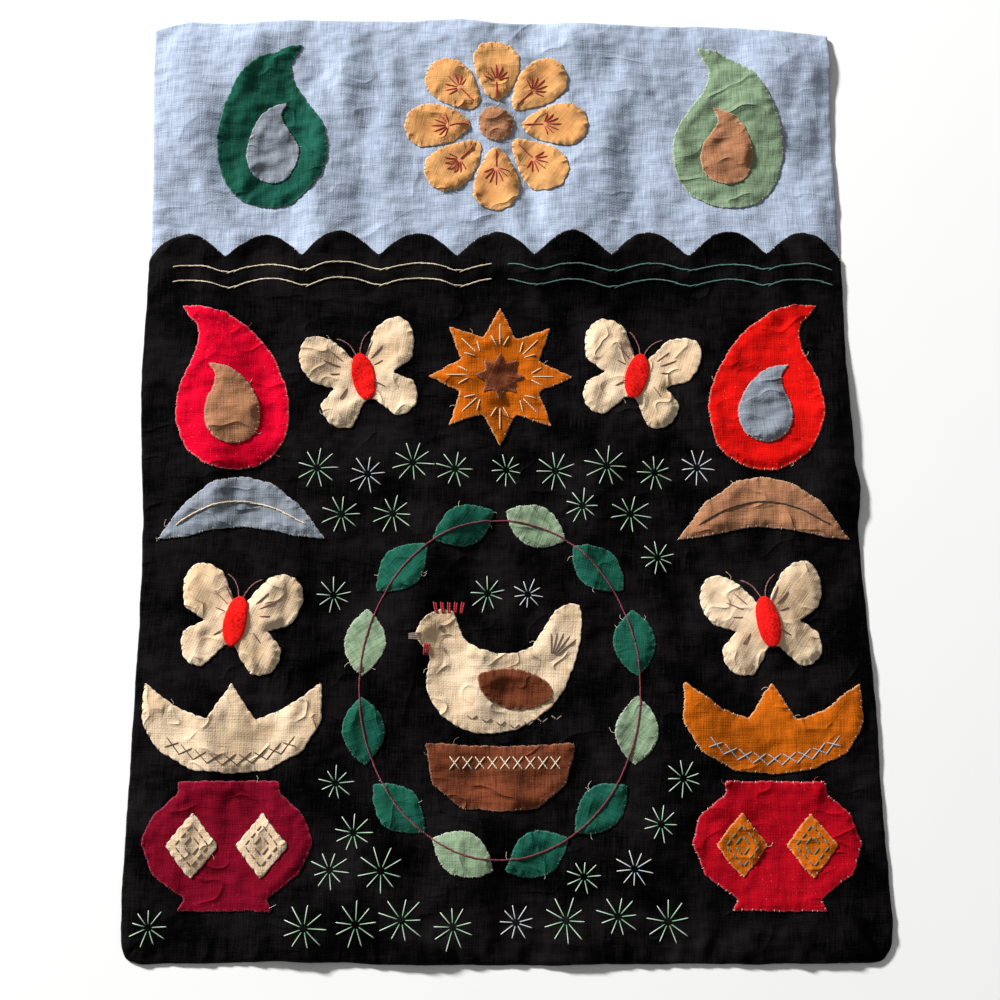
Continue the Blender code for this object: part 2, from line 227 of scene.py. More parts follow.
def settings(group):
    """One of the scene's property groups."""
    return getattr(bpy.context.scene, group)


# Heights of the cloth

def cast_tree(meshes):
    """A tree for casting rays at the triangles of these meshes, at rest."""
    verts = []
    faces = []
    for mesh in meshes:
        start = sum(len(part) for part in verts)
        places = np.empty(len(mesh.vertices) * 3)
        mesh.vertices.foreach_get("co", places)
        mesh.calc_loop_triangles()
        corners = np.empty(len(mesh.loop_triangles) * 3, dtype=np.int32)
        mesh.loop_triangles.foreach_get("vertices", corners)
        verts.append(places.reshape(-1, 3))
        faces.append(corners.reshape(-1, 3) + start)
    return BVHTree.FromPolygons(np.vstack(verts).tolist(), np.vstack(faces).tolist())


def filled_in(grid):
    """A grid whose empty places take the mean of their neighbours, spreading outwards."""
    while np.isnan(grid).any():
        padded = np.pad(grid, 1, constant_values=np.nan)
        around = np.stack([padded[1:-1, :-2], padded[1:-1, 2:], padded[:-2, 1:-1], padded[2:, 1:-1]])
        known = ~np.isnan(around)
        total = np.where(known, around, 0.0).sum(axis=0)
        count = known.sum(axis=0)
        grid = np.where(np.isnan(grid) & (count > 0), total / np.maximum(count, 1), grid)
    return grid


def blurred(grid, times):
    """A grid smoothed along both directions."""
    for _ in range(times):
        for axis in (0, 1):
            before = np.concatenate([np.take(grid, [0], axis), np.delete(grid, -1, axis)], axis)
            after = np.concatenate([np.delete(grid, 0, axis), np.take(grid, [-1], axis)], axis)
            grid = (before + 2 * grid + after) / 4
    return grid


def perlin(x, y, z):
    """Smooth noise at arrays of places, from about -1 to 1."""
    return np.array([noise.noise(Vector((a, b, z))) for a, b in zip(x, y)])


def eased(share):
    """A share from 0 to 1, eased at both ends."""
    share = np.clip(share, 0.0, 1.0)
    return share * share * (3 - 2 * share)


def sampled(grid, x, y, margin=0):
    """Values of a map of the cloth at arrays of places; margin is the number of cells added round it."""
    start = CAD_BOX[0]
    column = np.clip((x - start[0]) / MAP_STEP + margin, 0, grid.shape[1] - 1.001)
    row = np.clip((y - start[1]) / MAP_STEP + margin, 0, grid.shape[0] - 1.001)
    i = row.astype(int)
    j = column.astype(int)
    v = row - i
    u = column - j
    near = grid[i, j] * (1 - u) + grid[i, j + 1] * u
    far = grid[i + 1, j] * (1 - u) + grid[i + 1, j + 1] * u
    return near * (1 - v) + far * v


def rumples(x, y):
    """The broad and the small soft folds that every layer follows; the broad ones leave raised places alone."""
    share = eased((y - 0.06) / 0.06)
    room = 1.0 - 0.85 * np.clip(sampled(COVER["raised"], x, y) / (4 * MM), 0.0, 1.0)
    broad = perlin(x / 0.038 - y / 0.12, y / 0.10 + x / 0.30, 57.0)
    soft = perlin(x / 0.026 + y / 0.11, y / 0.085, 71.0)
    ridge = 1.0 - 4.5 * np.abs(perlin(x / 0.050 + y / 0.13, y / 0.110, 83.0))
    small = perlin(x / 0.0115 + y / 0.045, y / 0.030, 91.0)
    height = np.clip(broad + 0.12, 0.0, 1.0) * 6.0 * room + np.clip(soft + 0.15, 0.0, 1.0) * (3.0 + 1.2 * share)
    height += eased(ridge) * (1.3 + 0.9 * share) + np.clip(small + 0.3, 0.0, 1.0) * (1.1 + 0.5 * share)
    return height * MM


def settled(x, y):
    """How much of its folds the cloth keeps at a place: all of them inside, few at its edges."""
    return eased(2 * sampled(COVER["map"], x, y, COVER_MARGIN) - 0.95)


class Underside:
    """Smooth heights of a ground panel's lower face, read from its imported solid."""

    def __init__(self, node):
        low, high = CAD_BOX
        tree = cast_tree([frame["nodes"][node].data])
        columns = math.ceil((high[0] - low[0]) / MAP_STEP) + 1
        rows = math.ceil((high[1] - low[1]) / MAP_STEP) + 1
        grid = np.full((rows, columns), np.nan)
        for row in range(rows):
            for column in range(columns):
                place = (low[0] + column * MAP_STEP, low[1] + row * MAP_STEP, -1.0)
                hit = tree.ray_cast(place, (0.0, 0.0, 1.0))[0]
                if hit is not None:
                    grid[row, column] = hit.z
        self.inside = ~np.isnan(grid)
        self.grid = blurred(filled_in(grid), MAP_BLUR)

    def at(self, x, y):
        """Heights at arrays of places."""
        share = settled(x, y)
        return sampled(self.grid, x, y) * (0.5 + 0.5 * share) + rumples(x, y) * (0.25 + 0.75 * share)


UNDERSIDES = {node: Underside(node) for node in GROUND_NODES}
COVER = {"map": np.logical_or(*(side.inside for side in UNDERSIDES.values())).astype(float)}
COVER["map"] = blurred(np.pad(COVER["map"], COVER_MARGIN), COVER_BLUR)
COVER["raised"] = blurred(
    np.where(UNDERSIDES["ground_blue"].inside, UNDERSIDES["ground_blue"].grid, UNDERSIDES["ground_black"].grid), 12
)
TOPS = {}


# Outlines

def outline_of(node):
    """The outline of a solid's upper face, going round anticlockwise."""
    mesh = frame["nodes"][node].data
    places = [(round(vert.co.x, 6), round(vert.co.y, 6)) for vert in mesh.vertices]
    sides = set()
    for face in mesh.polygons:
        if face.normal.z > 0.5:
            corners = [places[i] for i in face.vertices]
            sides.update(zip(corners, corners[1:] + corners[:1]))
    following = {a: b for a, b in sides if (b, a) not in sides}
    start = min(following)
    loop = [start]
    while following[loop[-1]] != start:
        loop.append(following[loop[-1]])
    return np.array(loop)


def evenly(points, step, softening=1):
    """Places at even steps along a closed outline, with its corners a little softened."""
    following = np.roll(points, -1, axis=0)
    lengths = np.hypot(*(following - points).T)
    starts = np.concatenate([[0.0], np.cumsum(lengths)])
    count = max(16, round(starts[-1] / step))
    places = np.arange(count) * starts[-1] / count
    closed = np.vstack([points, points[:1]])
    even = np.column_stack([np.interp(places, starts, closed[:, k]) for k in (0, 1)])
    for _ in range(softening):
        even = (np.roll(even, 1, axis=0) + 2 * even + np.roll(even, -1, axis=0)) / 4
    return even


def outward(points):
    """Directions that point out of an anticlockwise outline."""
    along = np.roll(points, -1, axis=0) - np.roll(points, 1, axis=0)
    along /= np.maximum(np.hypot(*along.T), 1e-9)[:, None]
    return np.column_stack([along[:, 1], -along[:, 0]])


def hand_cut(node, step, wobble, seed):
    """A solid's outline with the small strays of hand cutting and turning."""
    even = evenly(outline_of(node), step, softening=3)
    stray = perlin(even[:, 0] / 0.011, even[:, 1] / 0.011, seed) * wobble
    stray += perlin(even[:, 0] / 0.0035, even[:, 1] / 0.0035, seed + 9.0) * wobble * 0.3
    return even + outward(even) * stray[:, None]


# Materials

def add_node(tree, kind, settings_by_name=None, links=None):
    """Adds a shader node, sets its own values and its sockets, and links sockets from other nodes."""
    node = tree.nodes.new(kind)
    for name, value in (settings_by_name or {}).items():
        if isinstance(name, str) and hasattr(node, name):
            setattr(node, name, value)
        else:
            node.inputs[name].default_value = value
    for socket, source in (links or {}).items():
        tree.links.new(source, node.inputs[socket])
    return node


def started(name, roughness, sheen, gloss=0.12):
    """A new material with a Principled shader."""
    material = bpy.data.materials.new(name)
    material.use_nodes = True
    tree = material.node_tree
    tree.nodes.clear()
    shader = add_node(tree, "ShaderNodeBsdfPrincipled", {
        "Roughness": roughness,
        "Metallic": 0.0,
        "IOR": 1.53,
        "Specular IOR Level": gloss,
        "Sheen Weight": sheen,
        "Sheen Roughness": 0.55,
    })
    add_node(tree, "ShaderNodeOutputMaterial", links={"Surface": shader.outputs["BSDF"]})
    return material, tree, shader


def maths(tree, operation, first, second=None, clamp=False):
    """A Math node's result; each value is a number or another node's output."""
    node = add_node(tree, "ShaderNodeMath", {"operation": operation, "use_clamp": clamp})
    for socket, value in enumerate((first, second)):
        if value is None:
            continue
        if isinstance(value, (int, float)):
            node.inputs[socket].default_value = value
        else:
            tree.links.new(value, node.inputs[socket])
    return node.outputs["Value"]


def streaks(tree, place, across, up, detail):
    """Noise whose grains measure this much across and up the cloth."""
    scaled = add_node(tree, "ShaderNodeMapping", {"Scale": (1 / across, 1 / up, 1.0)}, {"Vector": place})
    grains = add_node(
        tree, "ShaderNodeTexNoise", {"Scale": 1.0, "Detail": detail, "Roughness": 0.6},
        {"Vector": scaled.outputs["Vector"]},
    )
    return maths(tree, "SUBTRACT", grains.outputs["Fac"], 0.5)


def weave_heights(tree, place, yarn):
    """Height of a plain weave, from -1 to 1: each yarn swells over one and dips under the next."""
    parts = add_node(tree, "ShaderNodeSeparateXYZ", links={"Vector": place})
    turn = math.pi / yarn
    across = maths(tree, "SINE", maths(tree, "MULTIPLY", parts.outputs["X"], turn))
    up = maths(tree, "SINE", maths(tree, "MULTIPLY", parts.outputs["Y"], turn))
    return maths(tree, "MULTIPLY", across, up)


def moved(tree, place, scale, reach):
    """A place shifted by smooth noise, so that what is drawn from it wanders."""
    stray = add_node(tree, "ShaderNodeTexNoise", {"Scale": scale, "Detail": 1.0}, {"Vector": place})
    centred = add_node(
        tree, "ShaderNodeVectorMath", {"operation": "SUBTRACT", 1: (0.5, 0.5, 0.5)},
        {0: stray.outputs["Color"]},
    )
    shift = add_node(
        tree, "ShaderNodeVectorMath", {"operation": "SCALE", "Scale": reach}, {0: centred.outputs["Vector"]}
    )
    return add_node(
        tree, "ShaderNodeVectorMath", {"operation": "ADD"}, {0: place, 1: shift.outputs["Vector"]}
    ).outputs["Vector"]


def creases(tree, place, along, apart):
    """Long curved creases: ridges where smooth noise crosses its middle, a few strong and most faint."""
    place = moved(tree, place, 60.0, 16 * MM)
    bend = streaks(tree, place, along, apart, 0.0)
    bend = maths(tree, "ABSOLUTE", bend)
    ridge = maths(tree, "ADD", maths(tree, "MULTIPLY", bend, -9.0), 1.0, clamp=True)
    crest = maths(tree, "ADD", maths(tree, "MULTIPLY", bend, -28.0), 1.0, clamp=True)
    ridge = maths(tree, "ADD", ridge, maths(tree, "MULTIPLY", crest, 0.4))
    strong = streaks(tree, place, along * 0.6, apart * 1.7, 0.0)
    strong = maths(tree, "ADD", maths(tree, "MULTIPLY", strong, 4.5), 0.3, clamp=True)
    return maths(tree, "MULTIPLY", ridge, strong)


def cotton(name, colour, streak, highlight_and_wear_colour, highlight_and_wear_share, folds):
    """Plain-weave cotton: matt, with uneven yarns that show as streaks both ways, slubs and soft creases.

    The yarns are drawn near their real spacing of 0.5 mm, a little coarser so that they show."""
    material, tree, shader = started(name, roughness=0.85, sheen=0.0, gloss=0.015)
    yarn = settings("cloth_sizes").yarn
    cloth_map = add_node(tree, "ShaderNodeUVMap", {"uv_map": "weave"}).outputs["UV"]
    place = moved(tree, cloth_map, 140.0, 1.1 * MM)
    soft, sharp, long, apart, fade_and_painted_light_share, large, painted_warm_shade = folds
    warp = streaks(tree, place, 0.62 * MM, 14 * MM, 2.0)
    weft = streaks(tree, place, 11 * MM, 0.62 * MM, 2.0)
    slub = streaks(tree, place, 1.5 * MM, 12 * MM, 1.0)
    # Broad patches of lighter and darker tone: partly uneven fading and partly painted light and shade, strongest on
    # the black
    fade_and_painted_light = streaks(tree, place, 30 * MM, 30 * MM, 2.0)
    mottled = streaks(tree, place, 1.6 * MM, 1.6 * MM, 3.0)
    weave = weave_heights(tree, place, yarn)
    tone = maths(tree, "ADD", maths(tree, "MULTIPLY", warp, streak * 2.6), 1.0)
    for part, share in ((weft, 2.1), (slub, 0.9), (fade_and_painted_light, fade_and_painted_light_share), (mottled, 0.45), (weave, 0.06)):
        tone = maths(tree, "ADD", tone, maths(tree, "MULTIPLY", part, streak * share))
    tone = maths(tree, "MAXIMUM", tone, 0.08)
    toned = add_node(
        tree, "ShaderNodeVectorMath", {"operation": "SCALE", 0: colour}, {"Scale": tone}
    )
    # Painted warm shade: where the broad patches are darker, the colour is multiplied by itself, so it turns deeper
    # and warmer as shade does on this cloth
    warm_shade_tinted = add_node(
        tree, "ShaderNodeMix", {"data_type": "RGBA", "blend_type": "MULTIPLY", 7: (*colour, 1.0)},
        {0: maths(tree, "ADD", maths(tree, "MULTIPLY", fade_and_painted_light, painted_warm_shade * -4.0), painted_warm_shade * 0.3, clamp=True),
         6: toned.outputs["Vector"]},
    )
    # The pale line along the cut edges: partly frayed wear and partly painted highlight where the turned edge catches
    # the light; pale lint specks take the same colour
    rim = add_node(tree, "ShaderNodeAttribute", {"attribute_name": "rim"}).outputs["Fac"]
    patchiness = maths(tree, "ADD", maths(tree, "MULTIPLY", mottled, 3.2), 0.62, clamp=True)
    highlight_and_wear = maths(tree, "MULTIPLY", maths(tree, "MULTIPLY", rim, patchiness), highlight_and_wear_share)
    specks = streaks(tree, cloth_map, 0.7 * MM, 0.7 * MM, 0.0)
    specks = maths(tree, "MULTIPLY", maths(tree, "SUBTRACT", specks, 0.27), 9.0, clamp=True)
    highlight_and_wear = maths(tree, "MAXIMUM", highlight_and_wear, maths(tree, "MULTIPLY", specks, highlight_and_wear_share * 0.7))
    mixed = add_node(
        tree, "ShaderNodeMix", {"data_type": "RGBA", 7: (*highlight_and_wear_colour, 1.0)},
        {0: highlight_and_wear, 6: warm_shade_tinted.outputs[2]},
    )
    tree.links.new(mixed.outputs[2], shader.inputs["Base Color"])
    crumple = streaks(tree, cloth_map, 13 * MM, 9 * MM, 1.0)
    drape = streaks(tree, moved(tree, cloth_map, 11.0, 70 * MM), 34 * MM, 80 * MM, 0.0)
    crease = creases(tree, cloth_map, long * MM, apart * MM)
    height = maths(tree, "MULTIPLY", weave, 0.02)
    height = maths(tree, "ADD", height, maths(tree, "MULTIPLY", maths(tree, "ADD", warp, weft), 0.3))
    height = maths(tree, "ADD", height, maths(tree, "MULTIPLY", mottled, 0.05))
    height = maths(tree, "ADD", height, maths(tree, "MULTIPLY", crumple, soft))
    height = maths(tree, "ADD", height, maths(tree, "MULTIPLY", crease, sharp))
    height = maths(tree, "ADD", height, maths(tree, "MULTIPLY", drape, large))
    bump = add_node(tree, "ShaderNodeBump", {"Strength": 0.85, "Distance": MM}, {"Height": height})
    tree.links.new(bump.outputs["Normal"], shader.inputs["Normal"])
    return material


def floss(name, tip, middle=None):
    """Cotton thread: a soft sheen, with faint dark lines of painted shade where its strands twist together, and
    painted highlight on the strands between them.
    """
    twist_share = 0.3 if middle else 1.0
    material, tree, shader = started(name, roughness=0.62, sheen=0.25)
    thread_map = add_node(tree, "ShaderNodeUVMap", {"uv_map": "thread"}).outputs["UV"]
    parts = add_node(tree, "ShaderNodeSeparateXYZ", links={"Vector": thread_map})
    twist = maths(tree, "ADD", maths(tree, "MULTIPLY", parts.outputs["X"], 1.0 / 1.3), parts.outputs["Y"])
    strand = maths(tree, "SINE", maths(tree, "MULTIPLY", twist, 2 * math.pi))
    share = add_node(tree, "ShaderNodeAttribute", {"attribute_name": "share"}).outputs["Fac"]
    along = add_node(
        tree, "ShaderNodeMix",
        {"data_type": "RGBA", 6: (*(middle or tip), 1.0), 7: (*tip, 1.0)},
        {0: maths(tree, "MULTIPLY", share, 1.35, clamp=True)},
    )
    # Painted shade in the grooves between the twisted strands and painted highlight on their crests, following the
    # bump of the twist
    tone = maths(tree, "ADD", maths(tree, "MULTIPLY", strand, 0.09 * twist_share), 0.98)
    toned = add_node(
        tree, "ShaderNodeVectorMath", {"operation": "SCALE"}, {0: along.outputs[2], "Scale": tone}
    )
    tree.links.new(toned.outputs["Vector"], shader.inputs["Base Color"])
    bump = add_node(
        tree, "ShaderNodeBump", {"Strength": 0.5 * twist_share, "Distance": 0.15 * MM}, {"Height": strand}
    )
    tree.links.new(bump.outputs["Normal"], shader.inputs["Normal"])
    return material


def wool_felt(name, colour):
    """Wool felt: fully matt and fuzzy, its matted fibres showing as fine mottling."""
    material, tree, shader = started(name, roughness=1.0, sheen=0.04, gloss=0.02)
    place = add_node(tree, "ShaderNodeTexCoord").outputs["Object"]
    fibres = streaks(tree, place, 1.3 * MM, 1.3 * MM, 4.0)
    tone = maths(tree, "ADD", maths(tree, "MULTIPLY", fibres, 0.9), 1.0)
    toned = add_node(tree, "ShaderNodeVectorMath", {"operation": "SCALE", 0: colour}, {"Scale": tone})
    tree.links.new(toned.outputs["Vector"], shader.inputs["Base Color"])
    bump = add_node(tree, "ShaderNodeBump", {"Strength": 0.7, "Distance": 0.4 * MM}, {"Height": fibres})
    tree.links.new(bump.outputs["Normal"], shader.inputs["Normal"])
    return material


def painted_floor(name, colour):
    """Matt painted board for the floor: a faint unevenness and no gloss."""
    material, tree, shader = started(name, roughness=0.95, sheen=0.0)
    place = add_node(tree, "ShaderNodeTexCoord").outputs["Object"]
    uneven = streaks(tree, place, 60 * MM, 60 * MM, 2.0)
    tone = maths(tree, "ADD", maths(tree, "MULTIPLY", uneven, 0.02), 1.0)
    toned = add_node(tree, "ShaderNodeVectorMath", {"operation": "SCALE", 0: colour}, {"Scale": tone})
    tree.links.new(toned.outputs["Vector"], shader.inputs["Base Color"])
    return material


# How strongly each cotton's yarns show; the colour of the pale line along its edges and of its lint specks, the line
# partly frayed wear and partly painted highlight where the turned edge catches the light; and how strongly that line
# shows
COTTON_LOOKS = {
    "chambray": (0.36, "D5DEEC", 0.5),
    "black": (1.05, "57565C", 0.3),
    "emerald": (0.5, "7FB09B", 0.5),
    "crimson": (0.26, "F5A5AE", 0.6),
    "ochre": (0.38, "F5CF98", 0.65),
    "vermilion": (0.22, "F8A590", 0.55),
    "sage": (0.42, "DDE8D6", 0.65),
    "grey": (0.38, "C6CCD3", 0.6),
    "tan": (0.36, "E2C6AC", 0.65),
    "brown": (0.56, "C79B82", 0.6),
    "cream": (0.2, "FBF3E4", 0.6),
    "dark_red": (0.38, "D06A80", 0.45),
    "red": (0.3, "EE8C98", 0.5),
    "golden": (0.26, "F9E6C2", 0.65),
    "leaf": (0.5, "6FAA97", 0.45),
}

# The folds of a cotton, in millimetres: height of the soft ones, height, length and distance of the creases;
# how strongly broad patches vary its tone, partly uneven fading and partly painted light and shade; height in
# millimetres of its large folds; and how strongly painted warm shade deepens its colour in the darker patches
USUAL_FOLDS = (1.9, 0.75, 34.0, 15.0, 0.7, 2.0, 0.0)
COTTON_FOLDS = {
    "chambray": (2.3, 0.4, 40.0, 24.0, 0.7, 6.0, 0.0),
    # The black's broad patches are strong: painted light and shade, with some uneven fading
    "black": (3.0, 0.8, 30.0, 24.0, 5.0, 7.0, 0.0),
    "cream": (1.6, 0.85, 15.0, 13.0, 1.0, 2.0, 0.45),
    "golden": (1.5, 0.7, 18.0, 13.0, 1.0, 2.0, 0.3),
    "tan": (2.0, 0.8, 26.0, 12.0, 0.7, 3.0, 0.15),
    "emerald": (3.2, 0.95, 30.0, 16.0, 2.2, 3.0, 0.0),
    "sage": (2.9, 1.05, 30.0, 14.0, 0.9, 3.0, 0.0),
    "grey": (3.1, 0.9, 26.0, 12.0, 0.8, 3.0, 0.0),
    "brown": (3.2, 1.05, 26.0, 12.0, 1.2, 3.0, 0.0),
}
MATERIALS = {}


def cloth_material(slot):
    """The material of a record slot, made once."""
    if slot not in MATERIALS:
        colour = tuple(getattr(settings("cloth_colours"), slot))
        if slot == "felt":
            MATERIALS[slot] = wool_felt("wool_felt_red", colour)
        else:
            streak, edge, share = COTTON_LOOKS[slot]
            folds = COTTON_FOLDS.get(slot, USUAL_FOLDS)
            MATERIALS[slot] = cotton(f"cotton_{slot}", colour, streak, linear(edge), share, folds)
    return MATERIALS[slot]


def thread_material(colour, middle=None):
    """The material of a thread colour, made once; a second colour starts at the thread's root."""
    name = f"cotton_thread_{colour}" + (f"_{middle}" if middle else "")
    if name not in MATERIALS:
        colours = settings("thread_colours")
        root = tuple(getattr(colours, middle)) if middle else None
        MATERIALS[name] = floss(name, tuple(getattr(colours, colour)), root)
    return MATERIALS[name]


# Sheets

def sheet_points(outline, rings, step):
    """Points for a sheet: its outline, rings just inside it and an even field of points within."""
    inward = -outward(outline)
    layers = [outline] + [outline + inward * ring for ring in rings]
    low = outline.min(axis=0)
    high = outline.max(axis=0)
    rows = np.arange(low[1], high[1], step * math.sqrt(3) / 2)
    columns = np.arange(low[0], high[0], step)
    field = np.array([(x + (step / 2 if k % 2 else 0.0), y) for k, y in enumerate(rows) for x in columns])
    tree = edge_tree(outline)
    clear = rings[-1] + step * 0.6
    far = np.array([tree.find((x, y, 0.0))[2] > clear for x, y in field])
    ring_points = np.vstack(layers[1:])
    near_edge = np.array([tree.find((x, y, 0.0))[2] for x, y in ring_points])
    wanted = np.repeat(rings, len(outline))
    kept = ring_points[near_edge > wanted * 0.8]
    return np.vstack([outline, kept, field[far]])


def edge_tree(outline):
    """A tree that finds the nearest place on an outline."""
    tree = kdtree.KDTree(len(outline))
    for i, (x, y) in enumerate(outline):
        tree.insert((x, y, 0.0), i)
    tree.balance()
    return tree


def link(obj, material):
    """Puts a finished piece in the scene, on the part's one body."""
    bpy.context.scene.collection.objects.link(obj)
    obj.data.materials.append(material)
    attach(obj, ROOT)
    return obj


def sheet_object(name, outline, rings, step, heights, grain, edge_width):
    """A closed sheet over an outline. heights gives its upper and lower faces from places and the
    distance to the edge, and grain turns its weave."""
    points = sheet_points(outline, rings, step)
    scaled = [Vector(point) for point in points / MM]
    count = len(outline)
    edges = [(i, (i + 1) % count) for i in range(count)]
    places, _, faces, _, _, _ = delaunay_2d_cdt(scaled, edges, [], 1, 1e-4)
    used = sorted({i for face in faces for i in face})
    order = {old: new for new, old in enumerate(used)}
    xy = np.array([places[i] for i in used]) * MM
    faces = [tuple(order[i] for i in face) for face in faces]
    a, b, c = faces[0]
    if np.cross(xy[b] - xy[a], xy[c] - xy[a]) < 0:
        faces = [face[::-1] for face in faces]
    tree = edge_tree(outline)
    found = [tree.find((x, y, 0.0)) for x, y in xy]
    inside = np.array([item[2] for item in found])
    along = np.array([item[1] for item in found]) / count
    top, bottom = heights(xy[:, 0], xy[:, 1], inside, along)
    total = len(xy)
    sides = {side for face in faces for side in zip(face, face[1:] + face[:1])}
    rim = [(b, a, a + total, b + total) for a, b in sides if (b, a) not in sides]
    below = [tuple(i + total for i in face[::-1]) for face in faces]
    mesh = bpy.data.meshes.new(name)
    verts = np.vstack([np.column_stack([xy, top]), np.column_stack([xy, bottom])])
    mesh.from_pydata(verts.tolist(), [], faces + below + rim)
    mesh.shade_smooth()
    cos, sin = math.cos(grain), math.sin(grain)
    shift = grain * 7.0
    weave = mesh.uv_layers.new(name="weave")
    turned = np.column_stack([
        xy[:, 0] * cos - xy[:, 1] * sin + shift,
        xy[:, 0] * sin + xy[:, 1] * cos + shift,
    ])
    turned = np.vstack([turned, turned])
    loops = np.empty(len(mesh.loops), dtype=np.int32)
    mesh.loops.foreach_get("vertex_index", loops)
    weave.data.foreach_set("uv", turned[loops].astype(np.float32).ravel())
    # The band along the edge that takes the pale line of painted highlight and frayed wear
    highlight_and_wear = np.clip(1.0 - inside / edge_width, 0.0, 1.0)
    rim_values = mesh.attributes.new("rim", "FLOAT", "POINT")
    rim_values.data.foreach_set("value", np.concatenate([highlight_and_wear, highlight_and_wear]).astype(np.float32))
    return bpy.data.objects.new(name, mesh)


def declare(obj, node, material):
    """Links a sheet with its material, and hides the solid that it replaces."""
    link(obj, material)
    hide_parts(node)
    return obj


def make_ground(node, slot, name, seed):
    """A ground panel: thin cloth on its solid's folds, with a turned hem and small creases."""
    sizes = settings("cloth_sizes")
    outline = hand_cut(node, sizes.edge_step * 1.4, sizes.wobble * 0.6, seed)
    around = length_of(outline)
    bottom = CAD_BOX[0][1]
    underside = UNDERSIDES[node]

    def heights(x, y, inside, along):
        base = underside.at(x, y)
        hem = 1.0 - eased((inside - sizes.hem_width) / (1.2 * MM))
        rounding = np.sqrt(np.clip(inside / (0.9 * MM), 0.0, 1.0))
        thick = (0.5 + 0.4 * hem) * MM * (0.35 + 0.65 * rounding)
        crease = perlin(x / 0.019 + y / 0.06, y / 0.015 - x / 0.05, seed + 3.0)
        fine = perlin(x / 0.0065, y / 0.009, seed + 5.0)
        swell = (crease * 0.7 + fine * 0.3) * sizes.ground_crease * eased(inside / (5 * MM))
        top = base + 0.1 * MM + thick + np.clip(swell, -0.15 * MM, 0.15 * MM)
        pucker = perlin(along * around / (7.5 * MM), inside / (16 * MM), seed + 7.0)
        gather = np.exp(-((inside - sizes.hem_width) / (4.5 * MM)) ** 2) * np.sqrt(np.clip(inside / MM, 0.0, 1.0))
        groove = np.exp(-((inside - sizes.hem_width) / (0.8 * MM)) ** 2)
        low_edge = eased((bottom + 26 * MM - y) / (14 * MM))
        gather = gather * 0.5 + low_edge * 1.6 * np.sqrt(np.clip(inside / (4 * MM), 0.0, 1.0))
        raised = np.clip(pucker + 0.2, 0.0, 0.7) * gather * 1.5 * MM
        top = top + raised - groove * 0.25 * MM
        pressed = pressed_down(x, y, top) if node == "ground_blue" else 0.0
        return top - pressed, np.maximum(base + raised * 0.8 - pressed, np.minimum(base, 0.0))

    rings = (0.4 * MM, 1.0 * MM, 2.2 * MM, 4.0 * MM, 5.8 * MM, 7.6 * MM, 9.4 * MM)
    obj = sheet_object(name, outline, rings, sizes.ground_step, heights, 0.01 * seed, 0.8 * MM)
    declare(obj, node, cloth_material(slot))
    TOPS[node] = obj.data
    return obj


def pressed_down(x, y, top):
    """How far the black panel, which laps over it, presses the blue one down."""
    black = UNDERSIDES["ground_black"]
    under = sampled(black.inside.astype(float), x, y) > 0.0
    return np.where(under, np.maximum(top + LAP_GAP - black.at(x, y), 0.0), 0.0)


def length_of(outline):
    """Length round an outline."""
    return float(np.hypot(*(np.roll(outline, -1, axis=0) - outline).T).sum())


def stitch_shares(length, spacing, name):
    """Where the stitches are along an edge, from 0 to 1, unevenly spaced as by hand."""
    draw = random.Random(name)
    count = max(6, round(length / spacing))
    return np.array([(i + draw.uniform(-0.36, 0.36)) / count % 1.0 for i in range(count)])


def pulled(along, shares, length):
    """How far the nearest stitch pulls the edge in, from 0 to 1, at these shares of its length."""
    apart = np.abs(along[:, None] - shares[None, :])
    near = np.minimum(apart, 1.0 - apart).min(axis=1) * length
    return np.exp(-(near / (1.1 * MM)) ** 2)


def wrinkles(x, y, turn, seed):
    """Heights, from 0 up, of the long creases and soft lumps in a cut-out; turn is the way they run."""
    u = x * math.cos(turn) + y * math.sin(turn)
    v = y * math.cos(turn) - x * math.sin(turn)
    v = v + perlin(x / 0.022, y / 0.022, seed + 2.0) * 0.007
    folds = perlin(u / 0.032, v / 0.0075, seed)
    sharp = 1.0 - 4.0 * np.abs(perlin(u / 0.045, v / 0.015, seed + 4.0))
    broad = perlin(x / 0.014, y / 0.014, seed + 8.0)
    return np.clip(0.4 + folds * 1.1 + np.clip(sharp, -0.3, 1.0) * 0.35 + broad * 0.9, 0.0, 1.8)


